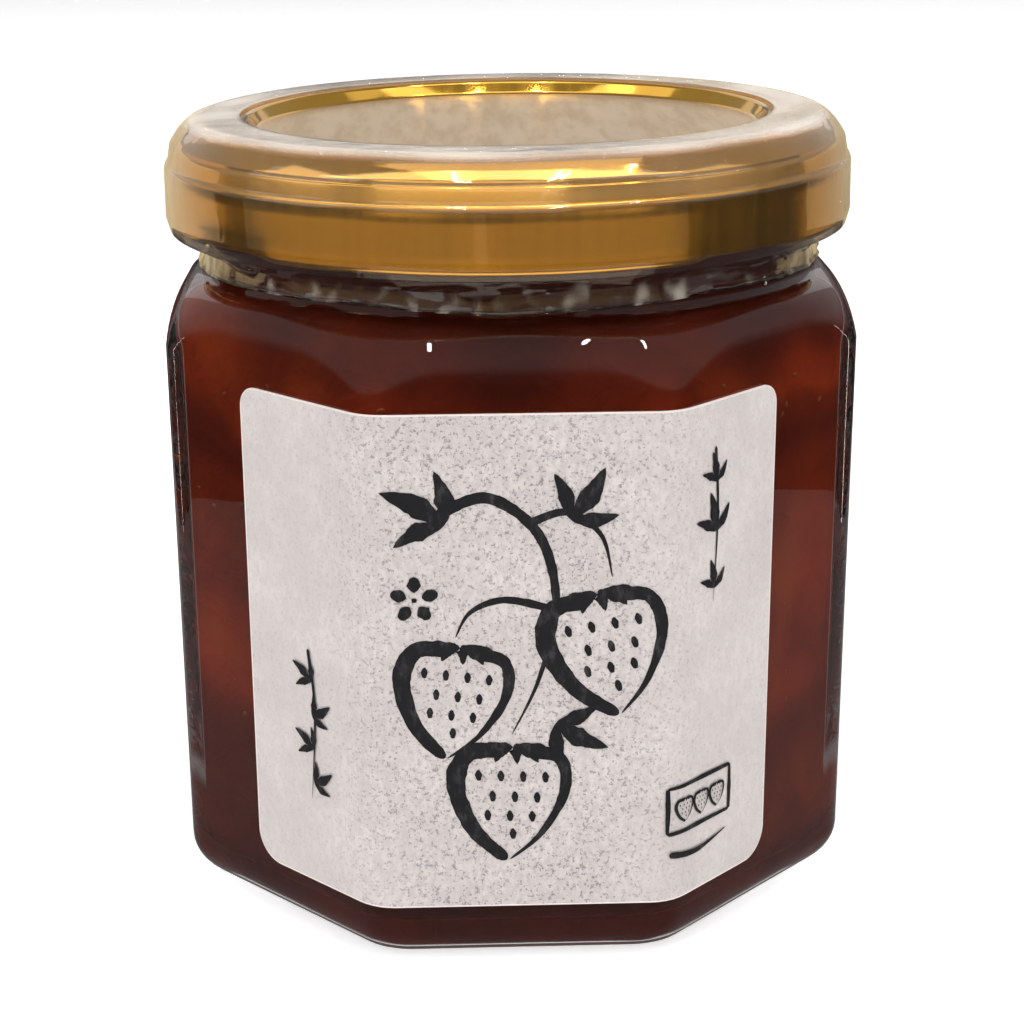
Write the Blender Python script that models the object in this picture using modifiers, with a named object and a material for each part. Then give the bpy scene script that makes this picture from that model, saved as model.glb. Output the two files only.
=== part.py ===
"""Eight-sided glass jar of dark jam with a gold twist-off lid, a wrapped paper label and a clear cap seal.

The jar stands on the origin with its labelled front face towards -Y. Sizes are in millimetres, and MM turns
them into Blender's metres.
"""

import math
from collections import namedtuple

import bmesh
import bpy

MM = 0.001
SIDES = 8
HALF_SIDE = math.pi / SIDES

# Outside of the glass
HALF_ACROSS_FLATS = 33.0
BODY_CORNER = 4.5
FOOT_RING_INNER = 25.2
FOOT_RING_OUTER = 29.0
FOOT_RECESS = 1.0
HEEL_CORNER = 7.0
HEEL_HEIGHT = 4.4
SHOULDER_START = 57.0
SHOULDER_RISE = 4.0
SHOULDER_RUN = 2.42
SHOULDER_SWEEP = math.radians(80.0)
NECK_RADIUS = 29.7
NECK_FILLET_RISE = 1.5
FINISH_START = 65.0
FINISH_RADIUS = 30.3
LIP_TOP = 74.6
LIP_ROUNDING = 0.9

# Inside of the glass
WALL = 2.5
FLOOR_HEIGHT = 5.2
INNER_HEEL = 5.0
INNER_CORNER = 3.6
INNER_SHOULDER_START = 56.4
INNER_SHOULDER_RISE = 4.4
MOUTH_RADIUS = 27.2

# Jam
JAM_GAP = 0.3
JAM_TOP = 66.0

# Lid of lacquered sheet metal
LID_SHEET = 0.4
PANEL_HEIGHT = 74.0
RECESS_FOOT_RADIUS = 24.8
RECESS_EDGE_RADIUS = 25.6
RING_TOP = 75.3
RING_OUTER_RADIUS = 29.8
RING_ROUNDING = 2.2
RIDGE_RADIUS = 33.3
RIDGE_HEIGHT = 71.5
SKIRT_RADIUS = 33.05
CURL_HEIGHT = 66.0
CURL_RADIUS = 0.55

# Paper label, bent round the front face and on to both of its neighbours
LABEL_BOTTOM = 6.2
LABEL_TOP = 53.6
LABEL_PAST_LEFT_EDGE = 16.5
LABEL_PAST_RIGHT_EDGE = 13.9
LABEL_THICKNESS = 0.2
LABEL_GAP = 0.12
LABEL_TOP_ROUNDING = 2.0
LABEL_BOTTOM_ROUNDING = 3.0

# Clear shrink film over the lid's ring, skirt and the neck
FILM_THICKNESS = 0.2
FILM_GAP = 0.25
FILM_EDGE_RADIUS = 26.2
FILM_HEM_HEIGHT = 61.9
FILM_HEM_RADIUS = 30.6
FILM_HEM_WAVE = 0.35

# Fineness of the meshes
ROUND_STEPS = 64
SECTOR_STEPS = (-22.5, -16.0, -9.5, -4.5, -1.6, 1.6, 4.5, 9.5, 16.0)
HEEL_STEPS = 4
SHOULDER_STEPS = 6
NECK_STEPS = 3

Section = namedtuple("Section", "height apothem corner")
Finish = namedtuple("Finish", "colour roughness metallic transmission")

FINISHES = {
    "clear_glass": Finish((0.93, 0.95, 0.94), 0.03, 0.0, 1.0),
    "dark_jam": Finish((0.09, 0.018, 0.010), 0.18, 0.0, 0.0),
    "gold_lacquer": Finish((0.62, 0.36, 0.10), 0.22, 1.0, 0.0),
    "washi_paper": Finish((0.62, 0.56, 0.54), 0.85, 0.0, 0.0),
    "shrink_film": Finish((0.92, 0.92, 0.92), 0.12, 0.0, 1.0),
}


def clear_scene():
    """Remove every object that the file starts with."""
    for obj in list(bpy.data.objects):
        bpy.data.objects.remove(obj, do_unlink=True)


def make_material(name):
    """Return a Principled material with the finish of that name."""
    finish = FINISHES[name]
    material = bpy.data.materials.new(name)
    material.use_nodes = True
    shader = material.node_tree.nodes["Principled BSDF"]
    shader.inputs["Base Color"].default_value = (*finish.colour, 1.0)
    shader.inputs["Roughness"].default_value = finish.roughness
    shader.inputs["Metallic"].default_value = finish.metallic
    shader.inputs["Transmission Weight"].default_value = finish.transmission
    return material


def add_object(name, mesh, material, collection):
    """Put a mesh into the scene as one smooth-shaded object."""
    obj = bpy.data.objects.new(name, mesh)
    mesh.materials.append(material)
    mesh.shade_smooth()
    mesh.set_sharp_from_angle(angle=math.radians(35.0))
    collection.objects.link(obj)
    return obj


def octagon_reach(offset, section):
    """Distance from the axis to a rounded octagon, at an angle counted from its nearest corner."""
    centre = (section.apothem - section.corner) / math.cos(HALF_SIDE)
    flat_from = math.atan2(
        section.corner * math.sin(HALF_SIDE), centre + section.corner * math.cos(HALF_SIDE)
    )
    if abs(offset) > flat_from:
        return section.apothem / math.cos(HALF_SIDE - abs(offset))
    chord = section.corner**2 - (centre * math.sin(offset)) ** 2
    return centre * math.cos(offset) + math.sqrt(chord)


def section_points(section):
    """Points of a rounded octagon, anticlockwise, closer together at its corners."""
    points = []
    for side in range(SIDES):
        corner_angle = (2 * side + 1) * HALF_SIDE
        for step in SECTOR_STEPS:
            offset = math.radians(step)
            reach = octagon_reach(offset, section)
            angle = corner_angle + offset
            points.append((reach * math.cos(angle), reach * math.sin(angle), section.height))
    return points


def circle_points(radius, height, steps=ROUND_STEPS):
    """Points of a level circle; height may be a function of the angle."""
    points = []
    for step in range(steps):
        angle = 2 * math.pi * step / steps
        level = height(angle) if callable(height) else height
        points.append((radius * math.cos(angle), radius * math.sin(angle), level))
    return points


def loft(name, rings, start_pole=None, end_pole=None):
    """Skin between rings of equally many points, closed by a fan at each pole height that is given."""
    shell = bmesh.new()
    rows = [[shell.verts.new([MM * value for value in point]) for point in ring] for ring in rings]
    count = len(rows[0])
    for lower, upper in zip(rows, rows[1:]):
        for i in range(count):
            j = (i + 1) % count
            shell.faces.new((lower[i], lower[j], upper[j], upper[i]))
    for row, pole in ((rows[0], start_pole), (rows[-1], end_pole)):
        if pole is None:
            continue
        centre = shell.verts.new((0.0, 0.0, MM * pole))
        for i in range(count):
            shell.faces.new((row[i], row[(i + 1) % count], centre))
    bmesh.ops.recalc_face_normals(shell, faces=shell.faces)
    mesh = bpy.data.meshes.new(name)
    shell.to_mesh(mesh)
    shell.free()
    return mesh


def heel_sections(half_flats, inset, height, foot, corner, foot_corner):
    """Rounded heel, from the foot at its inset up to the full width."""
    sections = []
    for step in range(HEEL_STEPS + 1):
        angle = 0.5 * math.pi * step / HEEL_STEPS
        sections.append(
            Section(
                foot + height * (1 - math.cos(angle)),
                half_flats - inset * (1 - math.sin(angle)),
                foot_corner + (corner - foot_corner) * math.sin(angle),
            )
        )
    return sections


def shoulder_sections(half_flats, corner, start, rise, top_radius):
    """Domed shoulder on which the octagon turns into a circle of the top radius."""
    run = (half_flats - top_radius) / (1 - math.cos(SHOULDER_SWEEP))
    sections = []
    for step in range(SHOULDER_STEPS + 1):
        share = step / SHOULDER_STEPS
        angle = SHOULDER_SWEEP * share
        apothem = half_flats - run * (1 - math.cos(angle))
        sections.append(
            Section(
                start + rise * math.sin(angle) / math.sin(SHOULDER_SWEEP),
                apothem,
                corner + (apothem - corner) * share**1.5,
            )
        )
    return sections


def neck_sections(shoulder_radius, shoulder_top):
    """Hollow fillet from the shoulder into the upright neck."""
    sections = []
    for step in range(1, NECK_STEPS + 1):
        angle = 0.5 * math.pi * step / NECK_STEPS
        radius = NECK_RADIUS + (shoulder_radius - NECK_RADIUS) * (1 - math.sin(angle))
        sections.append(
            Section(shoulder_top + NECK_FILLET_RISE * (1 - math.cos(angle)), radius, radius)
        )
    return sections


def round_section(height, radius):
    """A level circle, as a section."""
    return Section(height, radius, radius)


def outer_glass():
    """Sections of the jar's outside, from the foot to the lip."""
    shoulder_radius = HALF_ACROSS_FLATS - SHOULDER_RUN * (1 - math.cos(SHOULDER_SWEEP))
    shoulder_top = SHOULDER_START + SHOULDER_RISE
    sections = [
        Section(FOOT_RECESS, FOOT_RING_INNER - 2.0, HEEL_CORNER),
        Section(0.0, FOOT_RING_INNER, HEEL_CORNER),
    ]
    sections += heel_sections(
        HALF_ACROSS_FLATS, HALF_ACROSS_FLATS - FOOT_RING_OUTER, HEEL_HEIGHT, 0.0, BODY_CORNER, HEEL_CORNER
    )
    sections += shoulder_sections(
        HALF_ACROSS_FLATS, BODY_CORNER, SHOULDER_START, SHOULDER_RISE, shoulder_radius
    )
    sections += neck_sections(shoulder_radius, shoulder_top)
    sections += [
        round_section(FINISH_START, NECK_RADIUS),
        round_section(FINISH_START + 1.0, FINISH_RADIUS),
        round_section(LIP_TOP - LIP_ROUNDING, FINISH_RADIUS),
        round_section(LIP_TOP, FINISH_RADIUS - LIP_ROUNDING),
    ]
    return sections


def inner_body(gap):
    """Sections of the jar's inside, from the floor to the neck, moved in by a gap."""
    half_flats = HALF_ACROSS_FLATS - WALL - gap
    mouth = MOUTH_RADIUS - gap
    sections = heel_sections(
        half_flats, INNER_HEEL, INNER_HEEL, FLOOR_HEIGHT + gap, INNER_CORNER, INNER_CORNER + INNER_HEEL
    )
    sections += shoulder_sections(
        half_flats, INNER_CORNER, INNER_SHOULDER_START - gap, INNER_SHOULDER_RISE, mouth
    )
    return sections


def build_glass(collection):
    """The hollow jar, from its foot round over the lip and down to its floor."""
    inner = [
        round_section(LIP_TOP, MOUTH_RADIUS + LIP_ROUNDING),
        round_section(LIP_TOP - LIP_ROUNDING, MOUTH_RADIUS),
        *reversed(inner_body(0.0)),
    ]
    rings = [section_points(section) for section in outer_glass() + inner]
    mesh = loft("glass_jar", rings, FOOT_RECESS, FLOOR_HEIGHT)
    return add_object("glass_jar", mesh, make_material("clear_glass"), collection)


def build_jam(collection):
    """The jam, which fills the jar up into the neck."""
    sections = inner_body(JAM_GAP) + [round_section(JAM_TOP, MOUTH_RADIUS - JAM_GAP)]
    rings = [section_points(section) for section in sections]
    mesh = loft("jam", rings, FLOOR_HEIGHT + JAM_GAP, JAM_TOP)
    return add_object("jam", mesh, make_material("dark_jam"), collection)


def lid_outline():
    """Outer half profile of the lid, from its axis out and down to the curl, as radius and height."""
    outline = [(0.0, PANEL_HEIGHT), (RECESS_FOOT_RADIUS, PANEL_HEIGHT)]
    outline.append((RECESS_EDGE_RADIUS - 0.35, RING_TOP - 0.25))
    outline.append((RECESS_EDGE_RADIUS, RING_TOP))
    for degrees in (0, 20, 40, 60):
        angle = math.radians(degrees)
        outline.append(
            (
                RING_OUTER_RADIUS + RING_ROUNDING * math.sin(angle),
                RING_TOP - RING_ROUNDING * (1 - math.cos(angle)),
            )
        )
    outline.append((RIDGE_RADIUS - 0.15, RIDGE_HEIGHT + 0.45))
    outline.append((RIDGE_RADIUS, RIDGE_HEIGHT))
    outline.append((SKIRT_RADIUS, RIDGE_HEIGHT - 0.7))
    outline.append((SKIRT_RADIUS, CURL_HEIGHT + CURL_RADIUS))
    return outline


def curl_outline():
    """Rolled lower edge of the lid, round from its outside to its inside."""
    centre = SKIRT_RADIUS - CURL_RADIUS + 0.1
    outline = []
    for degrees in (0, -45, -90, -135, -180):
        angle = math.radians(degrees)
        outline.append((centre + CURL_RADIUS * math.cos(angle), CURL_HEIGHT + CURL_RADIUS * math.sin(angle)))
    return outline


def inner_lid_outline():
    """Inner half profile of the lid, from above the curl up and in to the axis."""
    return [
        (SKIRT_RADIUS - LID_SHEET, CURL_HEIGHT + CURL_RADIUS),
        (SKIRT_RADIUS - LID_SHEET, RIDGE_HEIGHT - 0.4),
        (RING_OUTER_RADIUS + 0.75 * RING_ROUNDING, RING_TOP - 0.75 * RING_ROUNDING),
        (RING_OUTER_RADIUS, RING_TOP - LID_SHEET),
        (RECESS_EDGE_RADIUS + 0.1, RING_TOP - LID_SHEET),
        (RECESS_FOOT_RADIUS + 0.3, PANEL_HEIGHT - LID_SHEET),
        (0.0, PANEL_HEIGHT - LID_SHEET),
    ]


def turned_mesh(name, outline):
    """A half profile at +X as an edge chain, for a Screw modifier to turn."""
    mesh = bpy.data.meshes.new(name)
    points = [(MM * radius, 0.0, MM * height) for radius, height in outline]
    mesh.from_pydata(points, [(i, i + 1) for i in range(len(points) - 1)], [])
    return mesh


def build_lid(collection):
    """The twist-off lid: sunk panel, flat ring, sloping shoulder, ridge, skirt and curl."""
    outline = lid_outline() + curl_outline() + inner_lid_outline()
    mesh = turned_mesh("lid", outline)
    obj = add_object("lid", mesh, make_material("gold_lacquer"), collection)
    turn = obj.modifiers.new("turn", "SCREW")
    turn.steps = ROUND_STEPS
    turn.render_steps = ROUND_STEPS
    turn.use_merge_vertices = True
    turn.merge_threshold = 0.00001
    turn.use_smooth_shade = True
    return obj


def wrap_point(along, offset):
    """Point on the rounded octagon moved out by offset, at a distance along from the front face's middle."""
    side = 1.0 if along >= 0 else -1.0
    flat = (HALF_ACROSS_FLATS - BODY_CORNER) * math.tan(HALF_SIDE)
    bend = BODY_CORNER * 2 * HALF_SIDE
    distance = abs(along)
    turned = min(max(distance - flat, 0.0), bend) / BODY_CORNER
    reach = BODY_CORNER + offset
    x = min(distance, flat) + reach * math.sin(turned)
    y = -(HALF_ACROSS_FLATS - BODY_CORNER) - reach * math.cos(turned)
    beyond = max(distance - flat - bend, 0.0)
    return side * (x + beyond * math.cos(turned)), y + beyond * math.sin(turned)


def label_columns():
    """Places along the label, each with how far its top and bottom draw in there."""
    flat = (HALF_ACROSS_FLATS - BODY_CORNER) * math.tan(HALF_SIDE)
    bend = BODY_CORNER * 2 * HALF_SIDE
    past = flat + bend - BODY_CORNER * math.tan(HALF_SIDE)
    left, right = -(past + LABEL_PAST_LEFT_EDGE), past + LABEL_PAST_RIGHT_EDGE
    columns = []
    for end, inward in ((left, 1.0), (right, -1.0)):
        for degrees in (0, 30, 60, 90):
            drawn = 1 - math.sin(math.radians(degrees))
            cut = 1 - math.cos(math.radians(degrees))
            columns.append((end + inward * cut * LABEL_BOTTOM_ROUNDING, drawn))
    for step in range(5):
        columns.append((flat + bend * step / 4, 0.0))
        columns.append((-flat - bend * step / 4, 0.0))
    return sorted(columns)


def build_label(collection):
    """The paper label as an open sheet, thickened outwards."""
    mesh = bpy.data.meshes.new("label")
    points = []
    for along, drawn in label_columns():
        x, y = wrap_point(along, LABEL_GAP)
        points.append((MM * x, MM * y, MM * (LABEL_BOTTOM + drawn * LABEL_BOTTOM_ROUNDING)))
        points.append((MM * x, MM * y, MM * (LABEL_TOP - drawn * LABEL_TOP_ROUNDING)))
    quads = [(i, i + 2, i + 3, i + 1) for i in range(0, len(points) - 2, 2)]
    mesh.from_pydata(points, [], quads)
    obj = add_object("label", mesh, make_material("washi_paper"), collection)
    thicken = obj.modifiers.new("paper", "SOLIDIFY")
    thicken.thickness = MM * LABEL_THICKNESS
    thicken.offset = 1.0
    return obj


def film_hem(angle):
    """Height of the film's uneven lower edge."""
    return FILM_HEM_HEIGHT + FILM_HEM_WAVE * (0.6 * math.sin(5 * angle) + 0.4 * math.sin(11 * angle + 1.0))


def film_rings():
    """Rings of the film's inner surface, from the lid's ring over the skirt and in to the neck."""
    ring_top = RING_TOP + FILM_GAP
    outline = [(FILM_EDGE_RADIUS, ring_top), (RING_OUTER_RADIUS, ring_top)]
    for degrees in (30, 60):
        angle = math.radians(degrees)
        reach = RING_ROUNDING + FILM_GAP
        outline.append((RING_OUTER_RADIUS + reach * math.sin(angle), ring_top - reach * (1 - math.cos(angle))))
    outline.append((RIDGE_RADIUS + FILM_GAP, RIDGE_HEIGHT + 0.3))
    outline.append((RIDGE_RADIUS + FILM_GAP, CURL_HEIGHT))
    outline.append((RIDGE_RADIUS - 0.6, CURL_HEIGHT - CURL_RADIUS - 0.4))
    outline.append((NECK_RADIUS + 0.4, CURL_HEIGHT - 2.0))
    rings = [circle_points(radius, height) for radius, height in outline]
    rings.append(circle_points(FILM_HEM_RADIUS, film_hem))
    return rings


def build_film(collection):
    """The clear cap seal as an open turned sheet, thickened outwards."""
    mesh = loft("cap_seal", film_rings())
    obj = add_object("cap_seal", mesh, make_material("shrink_film"), collection)
    thicken = obj.modifiers.new("film", "SOLIDIFY")
    thicken.thickness = MM * FILM_THICKNESS
    thicken.offset = 1.0
    return obj


def main():
    """Build the jar and all that is on it."""
    clear_scene()
    collection = bpy.data.collections.new("jam_jar")
    bpy.context.scene.collection.children.link(collection)
    build_glass(collection)
    build_jam(collection)
    build_lid(collection)
    build_label(collection)
    build_film(collection)


main()
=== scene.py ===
"""Looks of an octagonal jar of dark jam: pressed glass, gold twist-off lid, clear cap seal and a paper label.

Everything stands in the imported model's own frame, in metres: +Z up, the labelled front face towards -Y.
"""

import logging
import math
import random
from dataclasses import dataclass
from enum import Enum
from typing import Optional, Sequence, Union

import bmesh
import bpy
import numpy as np
from mathutils import Matrix, Vector, noise


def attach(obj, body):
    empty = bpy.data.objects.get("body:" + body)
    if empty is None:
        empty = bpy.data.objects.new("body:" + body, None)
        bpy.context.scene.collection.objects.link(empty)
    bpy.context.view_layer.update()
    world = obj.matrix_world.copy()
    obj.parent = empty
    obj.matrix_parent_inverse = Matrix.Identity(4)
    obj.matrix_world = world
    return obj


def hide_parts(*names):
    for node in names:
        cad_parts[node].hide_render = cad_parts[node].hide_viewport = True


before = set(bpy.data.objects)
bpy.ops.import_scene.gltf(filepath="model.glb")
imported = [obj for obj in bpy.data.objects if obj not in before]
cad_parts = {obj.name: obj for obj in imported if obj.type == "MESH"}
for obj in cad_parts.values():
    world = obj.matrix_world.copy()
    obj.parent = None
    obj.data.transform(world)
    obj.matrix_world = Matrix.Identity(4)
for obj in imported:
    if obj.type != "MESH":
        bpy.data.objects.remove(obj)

LOG = logging.getLogger("jam_jar")
MM = 0.001
BODY = "root"
HALF_SIDE = math.pi / 8
FRONT = -0.5 * math.pi
PHOTO_PIXELS = 1024
SENSOR_MM = 36.0

Colour = tuple[float, float, float]
Place = tuple[float, float, float]
Point = tuple[float, float]
Output = bpy.types.NodeSocket
Input = Union[Output, float, Colour]


# Making nodes

class Socket(Enum):
    """Sockets of the Principled shader that the finishes set."""

    COLOUR = "Base Color"
    ROUGHNESS = "Roughness"
    METALLIC = "Metallic"
    TRANSMISSION = "Transmission Weight"
    IOR = "IOR"
    SPECULAR = "Specular IOR Level"
    COAT = "Coat Weight"
    COAT_ROUGHNESS = "Coat Roughness"
    SUBSURFACE = "Subsurface Weight"
    SUBSURFACE_SCALE = "Subsurface Scale"
    SUBSURFACE_RADIUS = "Subsurface Radius"
    SHEEN = "Sheen Weight"
    GLOW = "Emission Color"
    GLOW_STRENGTH = "Emission Strength"
    NORMAL = "Normal"


class Maths(Enum):
    """Operations of a Math node that the finishes use."""

    ADD = "ADD"
    SUBTRACT = "SUBTRACT"
    MULTIPLY = "MULTIPLY"
    DIVIDE = "DIVIDE"
    MAXIMUM = "MAXIMUM"


class MaterialBuilder:
    """Builds the nodes of one material round a Principled shader."""

    def __init__(self, name: str) -> None:
        """Start a material.

        Args:
            name: Its name.
        """
        self.material = bpy.data.materials.new(name)
        self.material.use_nodes = True
        self.tree = self.material.node_tree
        self.shader = self.tree.nodes["Principled BSDF"]
        self.place = self.tree.nodes.new("ShaderNodeTexCoord").outputs["Object"]

    def put(self, socket: Socket, value: Input) -> None:
        """Set a socket of the shader to a value, or link it when the value is an output.

        Args:
            socket: The socket.
            value: A number, a colour or an output.
        """
        target = self.shader.inputs[socket.value]
        if isinstance(value, bpy.types.NodeSocket):
            self.tree.links.new(value, target)
        elif socket in (Socket.COLOUR, Socket.GLOW):
            target.default_value = (*value, 1.0)
        else:
            target.default_value = value

    def feed(self, node: bpy.types.Node, inputs: dict[Union[str, int], Input]) -> None:
        """Fill a node's inputs with values or with other nodes' outputs.

        Args:
            node: The node.
            inputs: What goes into each input, by its name or number.
        """
        for key, value in inputs.items():
            if isinstance(value, bpy.types.NodeSocket):
                self.tree.links.new(value, node.inputs[key])
            else:
                node.inputs[key].default_value = value

    def stretched(self, scale: Sequence[float]) -> Output:
        """Place on the object, stretched.

        Args:
            scale: Scale along each axis.

        Returns:
            The stretched place.
        """
        mapping = self.tree.nodes.new("ShaderNodeMapping")
        self.feed(mapping, {"Vector": self.place, "Scale": tuple(scale)})
        return mapping.outputs["Vector"]

    def clouds(self, scale: float, detail: float = 3.0, rough: float = 0.5,
               stretch: Sequence[float] = (1, 1, 1), warp: float = 0.0) -> Output:
        """Soft cloudy pattern.

        Args:
            scale: Waves in a metre.
            detail: Number of finer layers.
            rough: Strength of the finer layers.
            stretch: Scale along each axis before the pattern is read.
            warp: How much the pattern is twisted.

        Returns:
            An output between 0 and 1.
        """
        cloud = self.tree.nodes.new("ShaderNodeTexNoise")
        self.feed(cloud, {"Vector": self.stretched(stretch), "Scale": scale, "Detail": detail,
                          "Roughness": rough, "Distortion": warp})
        return cloud.outputs["Fac"]

    def cells(self, scale: float) -> Output:
        """Distance to the nearest of many scattered points.

        Args:
            scale: Points in a metre.

        Returns:
            An output that is 0 at each point.
        """
        cell = self.tree.nodes.new("ShaderNodeTexVoronoi")
        self.feed(cell, {"Vector": self.place, "Scale": scale})
        return cell.outputs["Distance"]

    def attribute(self, name: str) -> Output:
        """Value of a mesh attribute.

        Args:
            name: The attribute's name.

        Returns:
            Its value.
        """
        node = self.tree.nodes.new("ShaderNodeAttribute")
        node.attribute_name = name
        return node.outputs["Fac"]

    def span(self, value: Output, low: float, high: float,
             to_low: float = 0.0, to_high: float = 1.0) -> Output:
        """Stretch a range of values to another, smoothly.

        Args:
            value: The output to read.
            low: Where the range starts.
            high: Where the range ends.
            to_low: Result at the start.
            to_high: Result at the end.

        Returns:
            The stretched output.
        """
        node = self.tree.nodes.new("ShaderNodeMapRange")
        node.interpolation_type = "SMOOTHSTEP"
        self.feed(node, {"Value": value, "From Min": low, "From Max": high,
                         "To Min": to_low, "To Max": to_high})
        return node.outputs["Result"]

    def blend(self, share: Input, first: Input, second: Input) -> Output:
        """Mix two colours.

        Args:
            share: 0 for the first colour, 1 for the second.
            first: A colour or an output.
            second: A colour or an output.

        Returns:
            The mixed colour.
        """
        node = self.tree.nodes.new("ShaderNodeMix")
        node.data_type = "RGBA"
        sockets = {0: share, 6: first, 7: second}
        values = {key: (*v, 1.0) if isinstance(v, tuple) else v for key, v in sockets.items()}
        self.feed(node, values)
        return node.outputs[2]

    def height(self) -> Output:
        """Height on the object.

        Returns:
            The height, in metres.
        """
        split = self.tree.nodes.new("ShaderNodeSeparateXYZ")
        self.feed(split, {0: self.place})
        return split.outputs["Z"]

    def maths(self, operation: Maths, first: Input, second: Input) -> Output:
        """Join two values by one operation.

        Args:
            operation: The operation.
            first: A number or an output.
            second: A number or an output.

        Returns:
            The result.
        """
        node = self.tree.nodes.new("ShaderNodeMath")
        node.operation = operation.value
        self.feed(node, {0: first, 1: second})
        return node.outputs[0]

    def relief(self, height: Output, depth: float, strength: float = 1.0) -> None:
        """Raise the surface by a pattern.

        Args:
            height: The pattern.
            depth: Its depth, in metres.
            strength: How strongly it shows.
        """
        node = self.tree.nodes.new("ShaderNodeBump")
        self.feed(node, {"Height": height, "Distance": depth, "Strength": strength})
        self.put(Socket.NORMAL, node.outputs["Normal"])


# Finishes

@dataclass(frozen=True)
class PressedGlass:
    """Clear moulded glass with faint waves left by the mould."""

    tint: Colour = (0.975, 0.985, 0.98)
    refraction: float = 1.5
    wave_per_metre: float = 45.0
    wave_depth: float = 0.00012

    def build(self) -> bpy.types.Material:
        """Make the finish.

        Returns:
            The material.
        """
        make = MaterialBuilder("pressed_glass")
        make.put(Socket.COLOUR, self.tint)
        make.put(Socket.ROUGHNESS, 0.0)
        make.put(Socket.IOR, self.refraction)
        make.put(Socket.TRANSMISSION, 1.0)
        make.relief(make.clouds(self.wave_per_metre, 1.0), self.wave_depth)
        return make.material


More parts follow.
